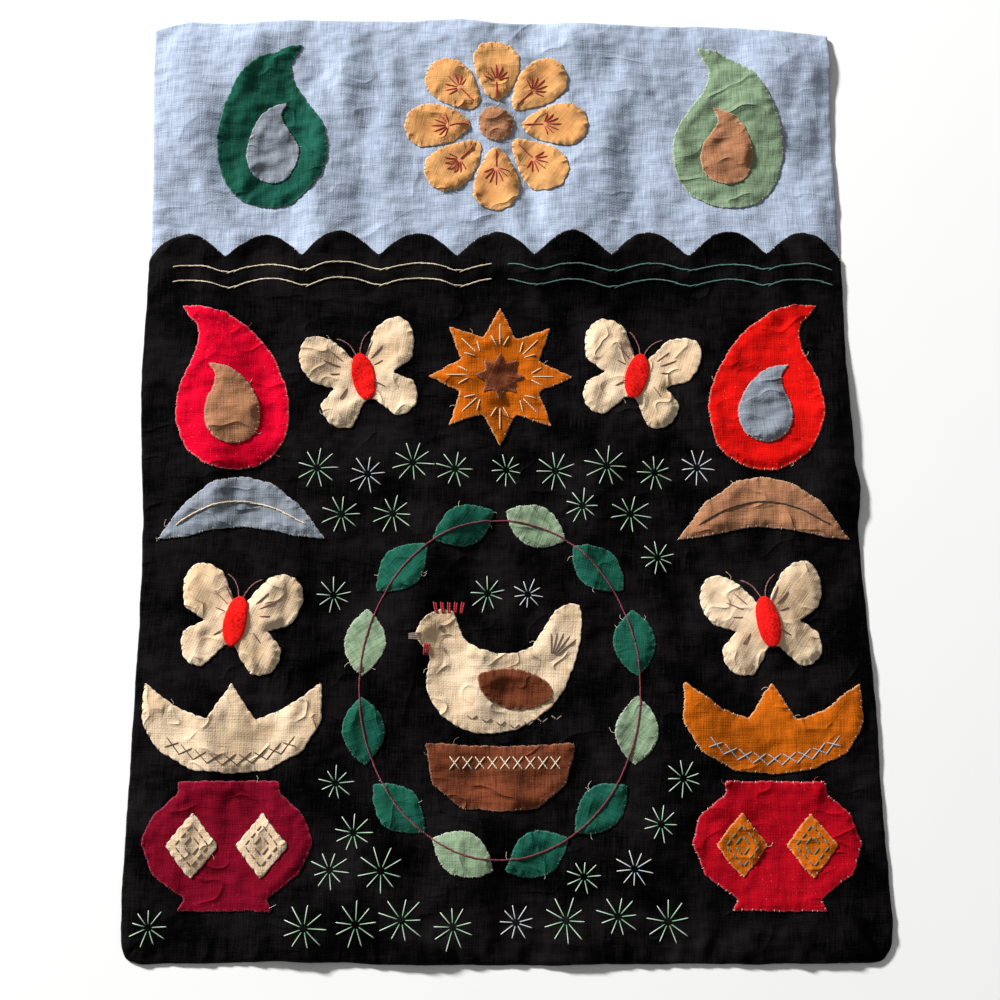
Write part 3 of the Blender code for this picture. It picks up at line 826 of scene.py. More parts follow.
def make_patch(node, slot, ground, layer=1, crease_turn=0.0, grain=0.0, crease=1.0, puff=1.0, gather=0.0):
    """A cut-out with its edge turned under and sewn down, lying on a ground panel or another cut-out."""
    sizes = settings("cloth_sizes")
    stitches = settings("stitch_sizes")
    seed = float(sum(map(ord, node)) % 97) + 0.5
    outline = hand_cut(node, sizes.edge_step, sizes.wobble, seed)
    length = length_of(outline)
    shares = stitch_shares(length, stitches.spacing, node)
    pulls = pulled(np.arange(len(outline)) / len(outline), shares, length)
    outline = outline - outward(outline) * (pulls * 0.45 * MM)[:, None]
    underside = UNDERSIDES[ground]
    lift = PATCH_LIFT + (layer - 1) * LAYER_RISE
    turn = math.radians(crease_turn)
    below = SWELLS.get(LOWER_LAYER.get(node))

    def swelling(x, y):
        return wrinkles(x, y, turn, seed) * sizes.crease * crease

    def heights(x, y, inside, along):
        base = underside.at(x, y) + lift
        if below:
            base = base + below(x, y)
        pull = pulled(along, shares, length)
        rounding = np.sqrt(np.clip(inside / (0.6 * MM), 0.0, 1.0))
        turning = 1.0 - eased((inside - sizes.turn_width) / (1.2 * MM))
        thick = (0.34 + 0.26 * turning * puff) * MM * (0.3 + 0.7 * rounding)
        thick -= pull * 0.35 * MM * np.exp(-inside / (2.0 * MM)) * rounding
        swell = swelling(x, y) * eased(inside / (4.5 * MM))
        radial = np.clip(perlin(along * length / (5 * MM), inside / (20 * MM), seed + 6.0) + 0.2, 0.0, 1.0)
        swell += radial * gather * MM * np.exp(-((inside - 3 * MM) / (4 * MM)) ** 2) * eased(inside / (1.5 * MM))
        return base + thick + swell, base + swell * 0.6

    rings = (0.2 * MM, 0.55 * MM, 1.1 * MM, 1.9 * MM, 2.9 * MM)
    name = f"cloth_{node}"
    obj = sheet_object(name, outline, rings, sizes.patch_step, heights, grain, 0.7 * MM)
    declare(obj, node, cloth_material(slot))
    TOPS[node] = obj.data
    SWELLS[node] = swelling
    EDGES[node] = (outline, shares)
    return obj


SWELLS = {}
EDGES = {}

# The cut-outs that lie on another one
LOWER_LAYER = {
    "emerald_inner": "emerald_drop",
    "sage_inner": "sage_drop",
    "crimson_inner": "crimson_drop",
    "vermilion_inner": "vermilion_drop",
    "star_centre": "star",
    "hen_wing": "hen",
    "diamond_left_1": "bowl_left",
    "diamond_left_2": "bowl_left",
    "diamond_right_1": "bowl_right",
    "diamond_right_2": "bowl_right",
    "butterfly_body_1": "butterfly_1",
    "butterfly_body_2": "butterfly_2",
    "butterfly_body_3": "butterfly_3",
    "butterfly_body_4": "butterfly_4",
}


def slot_of(node):
    """The record's material slot of a node."""
    parts = frame["record"]["subparts"]
    return next(part["material_slot"] for part in parts if part["node"] == node)


def middle_of(node):
    """The middle of a node's box, across and up."""
    low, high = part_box(node)
    return np.array([(low[0] + high[0]) / 2, (low[1] + high[1]) / 2])


# Threads

THREADS = {}
LAID = {}
STITCH_POINTS = 7


def laid_tree():
    """A tree for finding the top of all the cloths laid so far."""
    if LAID.get("count") != len(TOPS):
        LAID["tree"] = cast_tree(TOPS.values())
        LAID["count"] = len(TOPS)
    return LAID["tree"]


def top_at(place):
    """Height of the uppermost cloth at a place."""
    hit = laid_tree().ray_cast((place[0], place[1], 1.0), (0.0, 0.0, -1.0))[0]
    return 0.0 if hit is None else hit.z


def thread_form(sides, spans):
    """A straight thread from a cylinder cut into spans: across, across, which ring, and its faces."""
    key = (sides, spans)
    if key not in THREADS:
        bpy.ops.mesh.primitive_cylinder_add(vertices=sides, radius=1.0, depth=1.0, location=(0.0, 0.0, 0.5))
        obj = bpy.context.object
        bpy.ops.object.mode_set(mode="EDIT")
        bpy.ops.mesh.select_mode(type="EDGE")
        bpy.ops.mesh.select_all(action="DESELECT")
        bpy.ops.object.mode_set(mode="OBJECT")
        for edge in obj.data.edges:
            first, second = (obj.data.vertices[i].co for i in edge.vertices)
            edge.select = abs(first.z - second.z) > 0.5
        bpy.ops.object.mode_set(mode="EDIT")
        bpy.ops.mesh.subdivide(number_cuts=spans - 1)
        bpy.ops.object.mode_set(mode="OBJECT")
        points = np.array([vert.co[:] for vert in obj.data.vertices])
        rings = np.rint((points[:, 2] + 0.5) * spans).astype(int)
        faces = [tuple(face.vertices)[::-1] for face in obj.data.polygons]
        THREADS[key] = (points[:, :2], rings, faces)
        mesh = obj.data
        bpy.data.objects.remove(obj)
        bpy.data.meshes.remove(mesh)
    return THREADS[key]


def taut(heights):
    """Heights of a thread drawn over a row of heights, sagging into the hollows that it crosses."""
    last = len(heights) - 1
    drawn = heights.copy()
    for i in range(last):
        for k in range(i + 2, last + 1):
            inner = np.arange(i + 1, k)
            line = heights[i] + (heights[k] - heights[i]) * (inner - i) / (k - i)
            drawn[inner] = np.maximum(drawn[inner], line)
    return (drawn + 2 * heights) / 3


class ThreadWork:
    """Threads gathered into one mesh, each a copy of one form bent along its own path."""

    def __init__(self, name, material, thick, sides=5, spans=6):
        self.name = name
        self.material = material
        self.radius = thick / 2
        self.form, self.rings, self.faces = thread_form(sides, spans)
        self.spans = spans
        self.verts = []
        self.all_faces = []
        self.uvs = []
        self.shares = []
        self.count = 0

    def lay(self, path, radius_share=1.0, flat=1.0):
        """Adds a thread along a path of three or more points."""
        path = np.array(path)
        steps = np.linspace(0.0, 1.0, self.spans + 1)
        places = curve_places(path, steps)
        along = np.gradient(places, axis=0)
        along /= np.maximum(np.linalg.norm(along, axis=1), 1e-9)[:, None]
        side = np.cross(along, (0.0, 0.0, 1.0))
        side /= np.maximum(np.linalg.norm(side, axis=1), 1e-9)[:, None]
        above = np.cross(side, along)
        narrow = 1.0 - 0.45 * np.abs(2 * steps - 1) ** 4
        width = self.radius * radius_share * narrow
        ring = self.rings
        verts = places[ring] + (side[ring] * self.form[:, :1] + above[ring] * self.form[:, 1:] * flat) * width[ring][:, None]
        start = self.count
        self.verts.append(verts)
        self.all_faces += [tuple(i + start for i in face) for face in self.faces]
        self.count += len(verts)
        length = np.linalg.norm(np.diff(places, axis=0), axis=1).sum() / MM
        turn = np.arctan2(self.form[:, 1], self.form[:, 0]) / (2 * math.pi)
        self.uvs.append(np.column_stack([steps[ring] * length, turn]))
        self.shares.append(steps[ring])

    def stitch(self, start, end, rise=0.2 * MM, sink=0.35 * MM, radius_share=1.0):
        """Adds a straight stitch that leaves the cloth at one place and enters it at another."""
        start = np.array(start[:2])
        end = np.array(end[:2])
        steps = np.linspace(0.0, 1.0, STITCH_POINTS)
        places = [start * (1 - step) + end * step for step in steps]
        heights = taut(np.array([top_at(place) for place in places]))
        lifted = heights + rise * np.sin(steps * math.pi) ** 0.5
        lifted[0] -= sink
        lifted[-1] -= sink
        self.lay([(*place, height) for place, height in zip(places, lifted)], radius_share)

    def stem(self, route, stitch, seed):
        """Adds a line of stem stitches, each starting beside the middle of the one before."""
        route = np.array(route)
        lengths = np.hypot(*np.diff(route, axis=0).T)
        starts = np.concatenate([[0.0], np.cumsum(lengths)])
        total = starts[-1]
        count = max(1, round(total / (stitch * 0.58)))
        draw = random.Random(seed)
        for i in range(count):
            begin = total * i / count
            finish = min(begin + stitch, total)
            first = np.array([np.interp(begin, starts, route[:, k]) for k in (0, 1)])
            last = np.array([np.interp(finish, starts, route[:, k]) for k in (0, 1)])
            run = (last - first) / max(float(np.hypot(*(last - first))), 1e-9)
            aside = np.array([-run[1], run[0]]) * self.radius * 0.55
            jitter = draw.uniform(-0.12, 0.12) * MM
            self.stitch(first - aside + jitter, last + aside + jitter, rise=self.radius * 0.9, sink=self.radius)

    def finish(self):
        """Makes the mesh, and puts it on the part."""
        mesh = bpy.data.meshes.new(self.name)
        mesh.from_pydata(np.vstack(self.verts).tolist(), [], self.all_faces)
        mesh.shade_smooth()
        loops = np.empty(len(mesh.loops), dtype=np.int32)
        mesh.loops.foreach_get("vertex_index", loops)
        layer = mesh.uv_layers.new(name="thread")
        layer.data.foreach_set("uv", np.vstack(self.uvs)[loops].astype(np.float32).ravel())
        share = mesh.attributes.new("share", "FLOAT", "POINT")
        share.data.foreach_set("value", np.concatenate(self.shares).astype(np.float32))
        return link(bpy.data.objects.new(self.name, mesh), self.material)


def curve_places(path, steps):
    """Places at shares of a smooth curve through the points of a path."""
    count = len(path)
    if count == 2:
        return path[0] + (path[1] - path[0]) * steps[:, None]
    spans = steps * (count - 1)
    index = np.minimum(spans.astype(int), count - 2)
    t = (spans - index)[:, None]
    before = path[np.maximum(index - 1, 0)]
    start = path[index]
    end = path[index + 1]
    after = path[np.minimum(index + 2, count - 1)]
    bend = (2 * before - 5 * start + 4 * end - after) * t ** 2 + (3 * start - before - 3 * end + after) * t ** 3
    return (2 * start + (end - before) * t + bend) / 2


# Edge stitches: the sewing thread of each cloth
SEWING = {
    "chambray": "ecru", "black": "ecru", "emerald": "teal", "crimson": "ecru", "ochre": "ecru",
    "vermilion": "ecru", "sage": "ecru", "grey": "ecru", "tan": "ecru", "brown": "taupe",
    "cream": "taupe", "dark_red": "maroon", "red": "ecru", "golden": "taupe", "leaf": "teal",
}


def whip_stitches():
    """Small slanted stitches that hold the turned edges down."""
    stitches = settings("stitch_sizes")
    works = {}
    draw = random.Random(11)
    for node, (outline, shares) in EDGES.items():
        colour = SEWING[slot_of(node)]
        if colour not in works:
            works[colour] = ThreadWork(
                f"edge_stitches_{colour}", thread_material(colour), stitches.sewing_thick, sides=4, spans=3
            )
        away = outward(outline)
        for share in shares:
            place = int(share * len(outline)) % len(outline)
            shown = draw.random() < 0.85
            slant = draw.uniform(0.0, 0.6) * MM
            reach = draw.uniform(0.45, 1.0) * MM
            edge = outline[place]
            out = away[place]
            run = np.array([-out[1], out[0]])
            if not shown or (node == "ground_black" and not on_seam(edge)):
                continue
            outer = edge + out * 0.45 * MM - run * slant
            inner = edge - out * reach + run * slant
            low = top_at(outer)
            high = top_at(inner)
            works[colour].lay([
                (*outer, low - 0.15 * MM),
                (*(edge + out * 0.3 * MM), low + (high - low) * 0.6),
                (*(edge - out * 0.35 * MM), high + 0.1 * MM),
                (*inner, high - 0.2 * MM),
            ])
    for work in works.values():
        work.finish()


def on_seam(place):
    """Whether a place on the black panel's outline is on its scalloped seam."""
    low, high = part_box("ground_black")
    return place[1] > high[1] - 16 * MM and low[0] + 5 * MM < place[0] < high[0] - 5 * MM


def seam_lines():
    """Stem-stitch lines that echo the scallops of the seam, cream on one side and teal on the other."""
    stitches = settings("stitch_sizes")
    low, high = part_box("ground_black")
    left = low[0] + 14 * MM
    right = high[0] - 14 * MM
    for side, colour in ((-1, "ecru"), (1, "teal")):
        work = ThreadWork(f"seam_lines_{colour}", thread_material(colour), stitches.floss_thick * 0.72)
        for row in range(2):
            first = left if side < 0 else 4 * MM
            last = -4 * MM if side < 0 else right
            x = np.linspace(first, last, 90)
            share = (x - low[0] - 3 * MM) / (high[0] - low[0] - 12 * MM)
            y = high[1] - (23 + 8 * row) * MM + np.abs(np.sin(share * 9 * math.pi)) * 5 * MM
            work.stem(np.column_stack([x, y]), stitches.stem_stitch, seed=row + 3)
        work.finish()


def sprigs():
    """Eight-armed stars of straight stitches, scattered over the free black ground."""
    stitches = settings("stitch_sizes")
    low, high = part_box("ground_black")
    trees = [edge_tree(outline) for node, (outline, _) in EDGES.items() if node not in GROUND_NODES]
    kinds = (("mint", "green"), ("mint", "green"), ("mint", "green"), ("white", "sky"))
    works = [
        ThreadWork(f"sprigs_{tip}_{i}", thread_material(tip, middle), stitches.floss_thick * 0.6)
        for i, (tip, middle) in enumerate(kinds[2:])
    ]
    draw = random.Random(4)
    spacing = stitches.sprig_spacing
    number = 0
    for row in range(13):
        for column in range(13):
            x = low[0] + 19 * MM + column * spacing * 0.88 + (spacing * 0.44 if row % 2 else 0.0)
            y = low[1] + 20 * MM + row * spacing * 0.8
            x += draw.uniform(-3, 3) * MM
            y += draw.uniform(-3, 3) * MM
            arm = stitches.sprig_arm * draw.uniform(0.8, 1.15)
            turn = draw.uniform(0, math.pi / 4)
            place = (x, y, 0.0)
            clear = min(tree.find(place)[2] for tree in trees)
            inside = low[0] + 13 * MM < x < high[0] - 16 * MM and y < high[1] - 44 * MM
            if not inside or clear < arm + 1.5 * MM or covered((x, y)):
                continue
            work = works[1 if number % 7 == 5 else 0]
            number += 1
            for i in range(stitches.sprig_arms):
                angle = turn + 2 * math.pi * i / stitches.sprig_arms + draw.uniform(-0.08, 0.08)
                reach = arm * draw.uniform(0.82, 1.08)
                point = np.array([math.cos(angle), math.sin(angle)])
                work.stitch(np.array([x, y]) + point * 1.2 * MM, np.array([x, y]) + point * reach)
    for work in works:
        work.finish()


def covered(place):
    """Whether a cut-out lies at a place."""
    for node, (outline, _) in EDGES.items():
        if node in GROUND_NODES:
            continue
        x, y = outline[:, 0], outline[:, 1]
        nx, ny = np.roll(x, -1), np.roll(y, -1)
        crossing = (y > place[1]) != (ny > place[1])
        with np.errstate(divide="ignore", invalid="ignore"):
            at = x + (place[1] - y) / (ny - y) * (nx - x)
        if np.count_nonzero(crossing & (place[0] < at)) % 2:
            return True
    return False


def petal_sprays():
    """Red sprays of straight stitches on the petals, joined by a short stem."""
    stitches = settings("stitch_sizes")
    work = ThreadWork("petal_sprays", thread_material("garnet"), stitches.floss_thick * 0.68)
    centre = middle_of("rosette_disc")
    for i in range(8):
        petal = middle_of(f"petal_{i + 1}")
        run = (petal - centre) / np.hypot(*(petal - centre))
        aside = np.array([-run[1], run[0]])
        root = petal - run * 6 * MM
        work.stem([petal - run * 17 * MM, root], stitches.stem_stitch, seed=i)
        for k in range(-3, 4):
            angle = k * 0.42
            point = run * math.cos(angle) + aside * math.sin(angle)
            work.stitch(root + point * 1.0 * MM, root + point * (10.5 - abs(k)) * MM)
    work.finish()


def wreath_stem():
    """The maroon stem that runs round the wreath and through its leaves."""
    stitches = settings("stitch_sizes")
    work = ThreadWork("wreath_stem", thread_material("maroon"), stitches.floss_thick * 0.85)
    leaves = np.array([middle_of(f"leaf_{i + 1}") for i in range(12)])
    steps = np.linspace(0.0, 1.0, 97)
    loop = np.vstack([leaves, leaves[:2]])
    route = []
    for i in range(12):
        part = np.vstack([leaves[i - 1], loop[i], loop[i + 1], loop[(i + 2)] if i + 2 < len(loop) else leaves[(i + 2) % 12]])
        route.append(curve_places(part, np.linspace(1 / 3, 2 / 3, 9)[:-1]))
    route = np.vstack(route + [leaves[:1]])
    work.stem(route, stitches.stem_stitch, seed=21)
    work.finish()


def herringbone():
    """A curved row of crossed stitches in the cup of each bloom."""
    stitches = settings("stitch_sizes")
    for side, colour in (("left", "sepia"), ("right", "sky")):
        work = ThreadWork(f"herringbone_{colour}", thread_material(colour), stitches.floss_thick * 0.6)
        low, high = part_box(f"bloom_{side}")
        middle = (low[0] + high[0]) / 2
        pitch = 7.2 * MM
        for i in range(-4, 5):
            ends = []
            for x, lift in ((i - 0.62, 3.6), (i + 0.55, 10.4), (i - 0.45, 10.0), (i + 0.62, 4.0)):
                sag = 11 * MM * (x * pitch / (36 * MM)) ** 2
                ends.append((middle + x * pitch, low[1] + lift * MM + sag))
            work.stitch(ends[0], ends[1])
            work.stitch(ends[2], ends[3])
        work.finish()


def diamond_lines():
    """Two rings of stitches, one in the other, on the diamonds of the bowls."""
    stitches = settings("stitch_sizes")
    for side, colour in (("left", "taupe"), ("right", "teal")):
        work = ThreadWork(f"diamond_lines_{colour}", thread_material(colour), stitches.floss_thick * 0.85)
        for number in (1, 2):
            low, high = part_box(f"diamond_{side}_{number}")
            middle = middle_of(f"diamond_{side}_{number}")
            for share in (0.62, 0.3):
                half = np.array([high[0] - low[0], high[1] - low[1]]) / 2 * share
                corners = [middle + half * turn for turn in ((1, 0), (0, 1), (-1, 0), (0, -1), (1, 0))]
                for start, end in zip(corners, corners[1:]):
                    count = 3 if share > 0.5 else 1
                    for i in range(count):
                        first = start + (end - start) * (i + 0.1) / count
                        last = start + (end - start) * (i + 0.9) / count
                        work.stitch(first, last)
        work.finish()


def butterfly_lines():
    """Feelers and wing lines of the butterflies."""
    stitches = settings("stitch_sizes")
    work = ThreadWork("butterfly_lines", thread_material("rose_brown"), stitches.floss_thick * 0.65)
    for number in range(1, 5):
        body = middle_of(f"butterfly_body_{number}")
        low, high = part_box(f"butterfly_body_{number}")
        wings = middle_of(f"butterfly_{number}")
        lean = {1: 14, 2: -14, 3: -10, 4: 10}[number]
        up = np.array([-math.sin(math.radians(lean)), math.cos(math.radians(lean))])
        right = np.array([up[1], -up[0]])
        head = body + up * 12 * MM
        for side in (-1, 1):
            feeler = [head + up * r * MM + right * side * a * MM for r, a in ((0, 1), (5, 2.5), (9, 5.5), (11, 9))]
            steps = np.linspace(0.0, 1.0, 12)
            work.stem(curve_places(np.array(feeler), steps), stitches.stem_stitch * 0.7, seed=number)
            for angle, reach in ((52, 19), (34, 20), (12, 15), (-42, 17)):
                point = right * side * math.cos(math.radians(angle)) + up * math.sin(math.radians(angle))
                work.stitch(wings + point * 9 * MM, wings + point * reach * MM)
    work.finish()


def hen_lines():
    """The hen's eye, beak, comb and feathers, and the straw of its nest."""
    stitches = settings("stitch_sizes")
    low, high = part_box("hen")
    head = np.array([low[0] + 13 * MM, high[1] - 12 * MM])
    beak = np.array([low[0] + 1.0 * MM, high[1] - 17 * MM])
    red = ThreadWork("hen_comb", thread_material("garnet"), stitches.floss_thick)
    for i in range(5):
        root = head + np.array([-2 + i * 3.0, 6.5]) * MM
        red.stitch(root, root + np.array([-1.5 + i * 0.6, 6.5]) * MM)
        red.stitch(root + np.array([0.8, 0]) * MM, root + np.array([-0.4 + i * 0.6, 6.0]) * MM)
    for i in range(3):
        root = beak + np.array([4.5 + i * 1.0, -3.0]) * MM
        red.stitch(root, root + np.array([-0.5, -6.5]) * MM)
    red.finish()
    brown = ThreadWork("hen_feathers", thread_material("taupe"), stitches.floss_thick * 0.8)
    for i in range(4):
        root = beak + np.array([1.0, -1.6 + i * 1.1]) * MM
        brown.stitch(root + np.array([2.0, 0.0]) * MM, root + np.array([-5.0, 0.6 - i * 0.4]) * MM)
    for i in range(4):
        angle = i * math.pi / 4
        point = np.array([math.cos(angle), math.sin(angle)]) * 1.5 * MM
        brown.stitch(head - point, head + point)
    tail = np.array([high[0] - 16 * MM, high[1] - 28 * MM])
    for i in range(5):
        angle = math.radians(38 + i * 13)
        point = np.array([math.cos(angle), math.sin(angle)])
        brown.stitch(tail + point * 2 * MM, tail + point * (17 - i * 0.8) * MM)
    wing = middle_of("hen_wing")
    for i in range(7):
        place = wing + np.array([-24 + i * 7.0, -17 + abs(i - 3) * 1.4]) * MM
        brown.stitch(place, place + np.array([2.6, -2.0]) * MM)
        brown.stitch(place + np.array([2.6, -2.0]) * MM, place + np.array([5.2, 0.0]) * MM)
    brown.finish()
    straw = ThreadWork("nest_straw", thread_material("ecru"), stitches.floss_thick * 0.75)
    low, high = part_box("nest")
    for i in range(9):
        x = low[0] + 12 * MM + i * 6.2 * MM
        straw.stitch((x, high[1] - 6 * MM), (x + 5.5 * MM, high[1] - 13 * MM))
        straw.stitch((x + 5.5 * MM, high[1] - 6 * MM), (x, high[1] - 13 * MM))
    straw.finish()


def crescent_lines():
    """A stem-stitch line along each crescent."""
    stitches = settings("stitch_sizes")
    for side, colour in (("left", "ecru"), ("right", "sepia")):
        work = ThreadWork(f"crescent_line_{colour}", thread_material(colour), stitches.floss_thick * 0.85)
        low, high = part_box(f"crescent_{side}")
        share = np.linspace(0.12, 0.88, 40)
        x = low[0] + (high[0] - low[0]) * share
        y = low[1] + 19.5 * MM * np.sin(share * math.pi)
        work.stem(np.column_stack([x, y]), stitches.stem_stitch, seed=5)
        work.finish()


def star_lines():
    """Straight stitches along the arms of the star."""
    stitches = settings("stitch_sizes")
    work = ThreadWork("star_lines", thread_material("ecru"), stitches.floss_thick * 0.7)
    middle = middle_of("star")
    for i in range(8):
        angle = i * math.pi / 4
        point = np.array([math.sin(angle), math.cos(angle)])
        aside = np.array([point[1], -point[0]])
        work.stitch(middle + point * 16 * MM, middle + point * 29 * MM)
        for side in (-1, 1):
            work.stitch(middle + point * 16 * MM + aside * side * 1.5 * MM, middle + point * 22 * MM + aside * side * 5 * MM)
    work.finish()


def frayed_ends():
    """Short loose yarns at the turned edges."""
    draw = random.Random(23)
    works = {
        colour: ThreadWork(f"frayed_ends_{colour}", thread_material(colour), 0.22 * MM, sides=4, spans=6)
        for colour in ("ecru", "taupe", "garnet")
    }
    for node, (outline, _) in EDGES.items():
        colour = {"crimson": "garnet", "red": "garnet", "golden": "ecru", "brown": "taupe"}.get(slot_of(node), "ecru")
        if node in GROUND_NODES:
            continue
        away = outward(outline)
        for _ in range(draw.randint(0, 3)):
            i = draw.randrange(len(outline))
            edge = outline[i]
            out = away[i]
            run = np.array([-out[1], out[0]]) * draw.uniform(-1.5, 1.5)
            reach = draw.uniform(1.2, 3.2) * MM
            points = [edge - out * 0.8 * MM, edge + out * reach * 0.4, edge + (out + run * 0.4) * reach * 0.8, edge + (out + run) * reach]
            works[colour].lay([(*point, top_at(point) + 0.12 * MM) for point in points])
    for work in works.values():
        work.finish()


def make_felt(node, ground):
    """A felt body: a low fuzzy cushion, with a fringe of short fibres."""
    sizes = settings("cloth_sizes")
    seed = float(sum(map(ord, node)) % 31) + 0.5
    outline = hand_cut(node, sizes.edge_step, sizes.wobble * 0.6, seed)
    underside = UNDERSIDES[ground]
    lift = PATCH_LIFT + LAYER_RISE + FELT_GAP

    def heights(x, y, inside, along):
        base = underside.at(x, y) + lift + SWELLS[LOWER_LAYER[node]](x, y)
        crown = np.sqrt(np.clip(inside / (4.5 * MM), 0.0, 1.0))
        lumps = perlin(x / 0.0028, y / 0.0028, seed) * 0.2 * MM + perlin(x / 0.0012, y / 0.0012, seed) * 0.12 * MM
        return base + 0.25 * MM + crown * 1.35 * MM + lumps * crown, base

    obj = sheet_object(f"felt_{node}", outline, (0.3 * MM, 0.8 * MM), 0.8 * MM, heights, 0.0, 0.7 * MM)
    declare(obj, node, cloth_material("felt"))
    TOPS[node] = obj.data
    return obj, outline


def felt_fibres(outlines):
    """Short curved fibres that stand up from the felt."""
    draw = random.Random(31)
    work = ThreadWork("felt_fibres", cloth_material("felt"), 0.11 * MM, sides=3, spans=3)
    for outline in outlines:
        middle = outline.mean(axis=0)
        for _ in range(300):
            point = outline[draw.randrange(len(outline))]
            share = math.sqrt(draw.random()) * 1.02
            root = middle + (point - middle) * share
            angle = draw.uniform(0, 2 * math.pi)
            lean = np.array([math.cos(angle), math.sin(angle)]) * draw.uniform(0.5, 1.5) * MM
            base = top_at(root)
            work.lay([(*root, base - 0.1 * MM), (*(root + lean * 0.4), base + 0.5 * MM), (*(root + lean), base + draw.uniform(0.2, 0.8) * MM)])
    work.finish()


# Operators

class ARPILLERA_OT_grounds(bpy.types.Operator):
    """Lay the blue and the black ground panel"""

    bl_idname = "arpillera.grounds"
    bl_label = "Ground panels"

    def execute(self, context):
        make_ground("ground_blue", "chambray", "cloth_ground_blue", 1.0)
        make_ground("ground_black", "black", "cloth_ground_black", 4.0)
        outline = hand_cut("ground_black", settings("cloth_sizes").edge_step * 1.4, settings("cloth_sizes").wobble * 0.6, 4.0)
        shares = stitch_shares(length_of(outline), settings("stitch_sizes").spacing, "ground_black")
        EDGES["ground_black"] = (outline, shares)
        return {"FINISHED"}


class ARPILLERA_OT_drops(bpy.types.Operator):
    """Lay the four paisley drops and their inner drops"""

    bl_idname = "arpillera.drops"
    bl_label = "Paisley drops"

    def execute(self, context):
        for colour, ground, turn in (
            ("emerald", "ground_blue", 70.0),
            ("sage", "ground_blue", 20.0),
            ("crimson", "ground_black", 4.0),
            ("vermilion", "ground_black", -8.0),
        ):
            make_patch(f"{colour}_drop", slot_of(f"{colour}_drop"), ground, 1, turn, 0.03)
            make_patch(f"{colour}_inner", slot_of(f"{colour}_inner"), ground, 2, 5.0, -0.06)
        return {"FINISHED"}


class ARPILLERA_OT_rosette(bpy.types.Operator):
    """Lay the golden petals and the disc of the rosette"""

    bl_idname = "arpillera.rosette"
    bl_label = "Rosette"

    def execute(self, context):
        for i in range(8):
            make_patch(f"petal_{i + 1}", "golden", "ground_blue", 1, 45.0 * i, 0.12 * i, crease=0.7, gather=1.1)
        make_patch("rosette_disc", "tan", "ground_blue", 1, 10.0, 0.2, gather=0.6)
        return {"FINISHED"}


class ARPILLERA_OT_star(bpy.types.Operator):
    """Lay the ochre star and its middle"""

    bl_idname = "arpillera.star"
    bl_label = "Star"

    def execute(self, context):
        make_patch("star", "ochre", "ground_black", 1, 12.0, 0.02)
        make_patch("star_centre", "brown", "ground_black", 2, 0.0, 0.3)
        return {"FINISHED"}


class ARPILLERA_OT_butterflies(bpy.types.Operator):
    """Lay the cream butterflies and their felt bodies"""

    bl_idname = "arpillera.butterflies"
    bl_label = "Butterflies"

    def execute(self, context):
        outlines = []
        for i in range(1, 5):
            make_patch(f"butterfly_{i}", "cream", "ground_black", 1, 30.0 * i, 0.15 * i, crease=1.3, puff=1.2)
        for i in range(1, 5):
            outlines.append(make_felt(f"butterfly_body_{i}", "ground_black")[1])
        felt_fibres(outlines)
        return {"FINISHED"}


class ARPILLERA_OT_crescents(bpy.types.Operator):
    """Lay the grey and the tan crescent"""

    bl_idname = "arpillera.crescents"
    bl_label = "Crescents"

    def execute(self, context):
        make_patch("crescent_left", "grey", "ground_black", 1, 80.0, 0.0, gather=0.6)
        make_patch("crescent_right", "tan", "ground_black", 1, 95.0, 0.0, gather=0.6)
        return {"FINISHED"}


class ARPILLERA_OT_wreath(bpy.types.Operator):
    """Lay the leaves of the wreath"""

    bl_idname = "arpillera.wreath"
    bl_label = "Wreath"

    def execute(self, context):
        for i in range(12):
            node = f"leaf_{i + 1}"
            make_patch(node, slot_of(node), "ground_black", 1, 90.0 + 30.0 * i, 0.2 * i, gather=0.7)
        return {"FINISHED"}


class ARPILLERA_OT_hen(bpy.types.Operator):
    """Lay the hen, its wing and the nest"""

    bl_idname = "arpillera.hen"
    bl_label = "Hen"

    def execute(self, context):
        make_patch("hen", "cream", "ground_black", 1, 15.0, 0.04, crease=0.8)
        make_patch("hen_wing", "brown", "ground_black", 2, 20.0, 0.1)
        make_patch("nest", "brown", "ground_black", 1, 0.0, 0.0)
        return {"FINISHED"}


class ARPILLERA_OT_vases(bpy.types.Operator):
    """Lay the two bowls with their blooms and diamonds"""

    bl_idname = "arpillera.vases"
    bl_label = "Vases"

    def execute(self, context):
        for side in ("left", "right"):
            for part in ("bowl", "bloom"):
                node = f"{part}_{side}"
                make_patch(node, slot_of(node), "ground_black", 1, 85.0, 0.01, crease=0.8)
            for number in (1, 2):
                node = f"diamond_{side}_{number}"
                make_patch(node, slot_of(node), "ground_black", 2, 80.0, 0.03 * number, crease=0.5)
        return {"FINISHED"}


class ARPILLERA_OT_sewing(bpy.types.Operator):
    """Sew the turned edges down and add loose yarn ends"""

    bl_idname = "arpillera.sewing"
    bl_label = "Edge stitches"

    def execute(self, context):
        whip_stitches()
        frayed_ends()
        return {"FINISHED"}


class ARPILLERA_OT_embroidery(bpy.types.Operator):
    """Work the embroidery"""

    bl_idname = "arpillera.embroidery"
    bl_label = "Embroidery"

    def execute(self, context):
        seam_lines()
        sprigs()
        petal_sprays()
        wreath_stem()
        herringbone()
        diamond_lines()
        butterfly_lines()
        hen_lines()
        crescent_lines()
        star_lines()
        return {"FINISHED"}


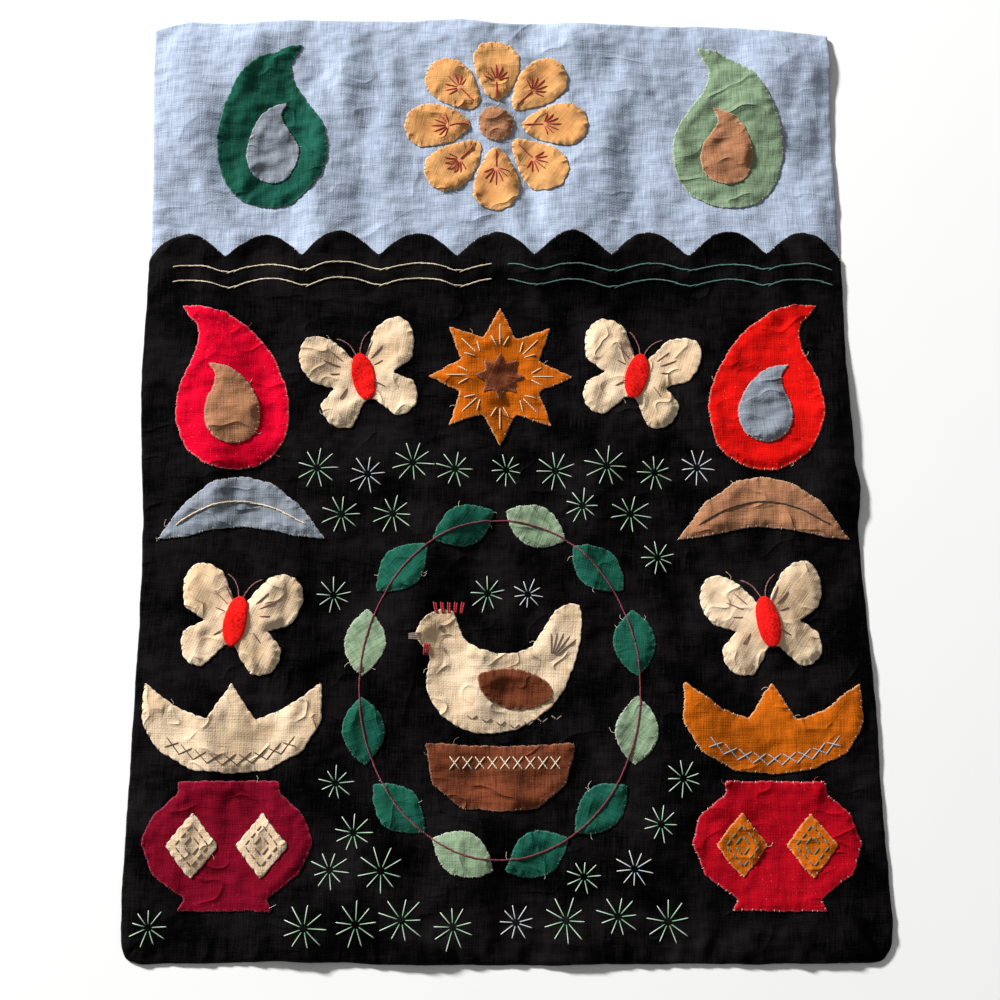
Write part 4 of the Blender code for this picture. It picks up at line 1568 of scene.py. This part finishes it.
class ARPILLERA_OT_stage(bpy.types.Operator):
    """Set the floor, the lights and the camera"""

    bl_idname = "arpillera.stage"
    bl_label = "Stage"

    def execute(self, context):
        stage = settings("stage_sizes")
        scene = context.scene
        scene.view_settings.view_transform = "Standard"
        scene.world = bpy.data.worlds.new("white_dome")
        scene.world.use_nodes = True
        dome = scene.world.node_tree.nodes["Background"]
        dome.inputs["Color"].default_value = (1.0, 1.0, 1.0, 1.0)
        dome.inputs["Strength"].default_value = stage.dome
        bpy.ops.mesh.primitive_plane_add(size=8.0)
        floor = context.object
        floor.name = "stage_floor"
        bpy.ops.object.mode_set(mode="EDIT")
        bpy.ops.transform.translate(value=(0.0, 0.0, -FLOOR_DROP))
        bpy.ops.object.mode_set(mode="OBJECT")
        floor.data.materials.append(painted_floor("painted_board", tuple(stage.floor)))
        key_place = Vector(stage.key_place)
        bpy.ops.object.light_add(type="AREA", location=key_place)
        key = context.object
        key.name = "key_light"
        key.rotation_euler = (-key_place).to_track_quat("-Z", "Y").to_euler()
        key.data.shape = "DISK"
        key.data.size = stage.key_size
        key.data.energy = stage.key_power
        aim = Vector((0.0, -stage.aim_down, 0.0))
        back = Vector((0.0, -math.sin(stage.tilt), math.cos(stage.tilt)))
        bpy.ops.object.camera_add(location=aim + back * stage.distance, rotation=(stage.tilt, 0.0, 0.0))
        camera = context.object
        camera.name = "main_camera"
        camera.data.lens = stage.lens
        camera.data.sensor_width = 36.0
        scene.camera = camera
        return {"FINISHED"}


OPERATORS = (
    ARPILLERA_OT_grounds,
    ARPILLERA_OT_drops,
    ARPILLERA_OT_rosette,
    ARPILLERA_OT_star,
    ARPILLERA_OT_butterflies,
    ARPILLERA_OT_crescents,
    ARPILLERA_OT_wreath,
    ARPILLERA_OT_hen,
    ARPILLERA_OT_vases,
    ARPILLERA_OT_sewing,
    ARPILLERA_OT_embroidery,
    ARPILLERA_OT_stage,
)


class ARPILLERA_PT_cloth(bpy.types.Panel):
    """Lists the steps of the cloth, and its sizes and colours"""

    bl_idname = "ARPILLERA_PT_cloth"
    bl_label = "Applique cloth"
    bl_space_type = "VIEW_3D"
    bl_region_type = "UI"
    bl_category = "Cloth"

    def draw(self, context):
        for operator in OPERATORS:
            self.layout.operator(operator.bl_idname)
        for name, group in PROPERTY_GROUPS:
            box = self.layout.box()
            for prop in group.__annotations__:
                box.prop(getattr(context.scene, name), prop)


def register():
    for name, group in PROPERTY_GROUPS:
        bpy.utils.register_class(group)
        setattr(bpy.types.Scene, name, PointerProperty(type=group))
    for operator in OPERATORS:
        bpy.utils.register_class(operator)
    bpy.utils.register_class(ARPILLERA_PT_cloth)


def unregister():
    bpy.utils.unregister_class(ARPILLERA_PT_cloth)
    for operator in reversed(OPERATORS):
        bpy.utils.unregister_class(operator)
    for name, group in reversed(PROPERTY_GROUPS):
        delattr(bpy.types.Scene, name)
        bpy.utils.unregister_class(group)


def main():
    register()
    for obj in bpy.context.view_layer.objects:
        obj.select_set(False)
    bpy.ops.arpillera.grounds()
    bpy.ops.arpillera.drops()
    bpy.ops.arpillera.rosette()
    bpy.ops.arpillera.star()
    bpy.ops.arpillera.butterflies()
    bpy.ops.arpillera.crescents()
    bpy.ops.arpillera.wreath()
    bpy.ops.arpillera.hen()
    bpy.ops.arpillera.vases()
    bpy.ops.arpillera.sewing()
    bpy.ops.arpillera.embroidery()
    bpy.ops.arpillera.stage()


if __name__ == "__main__":
    main()
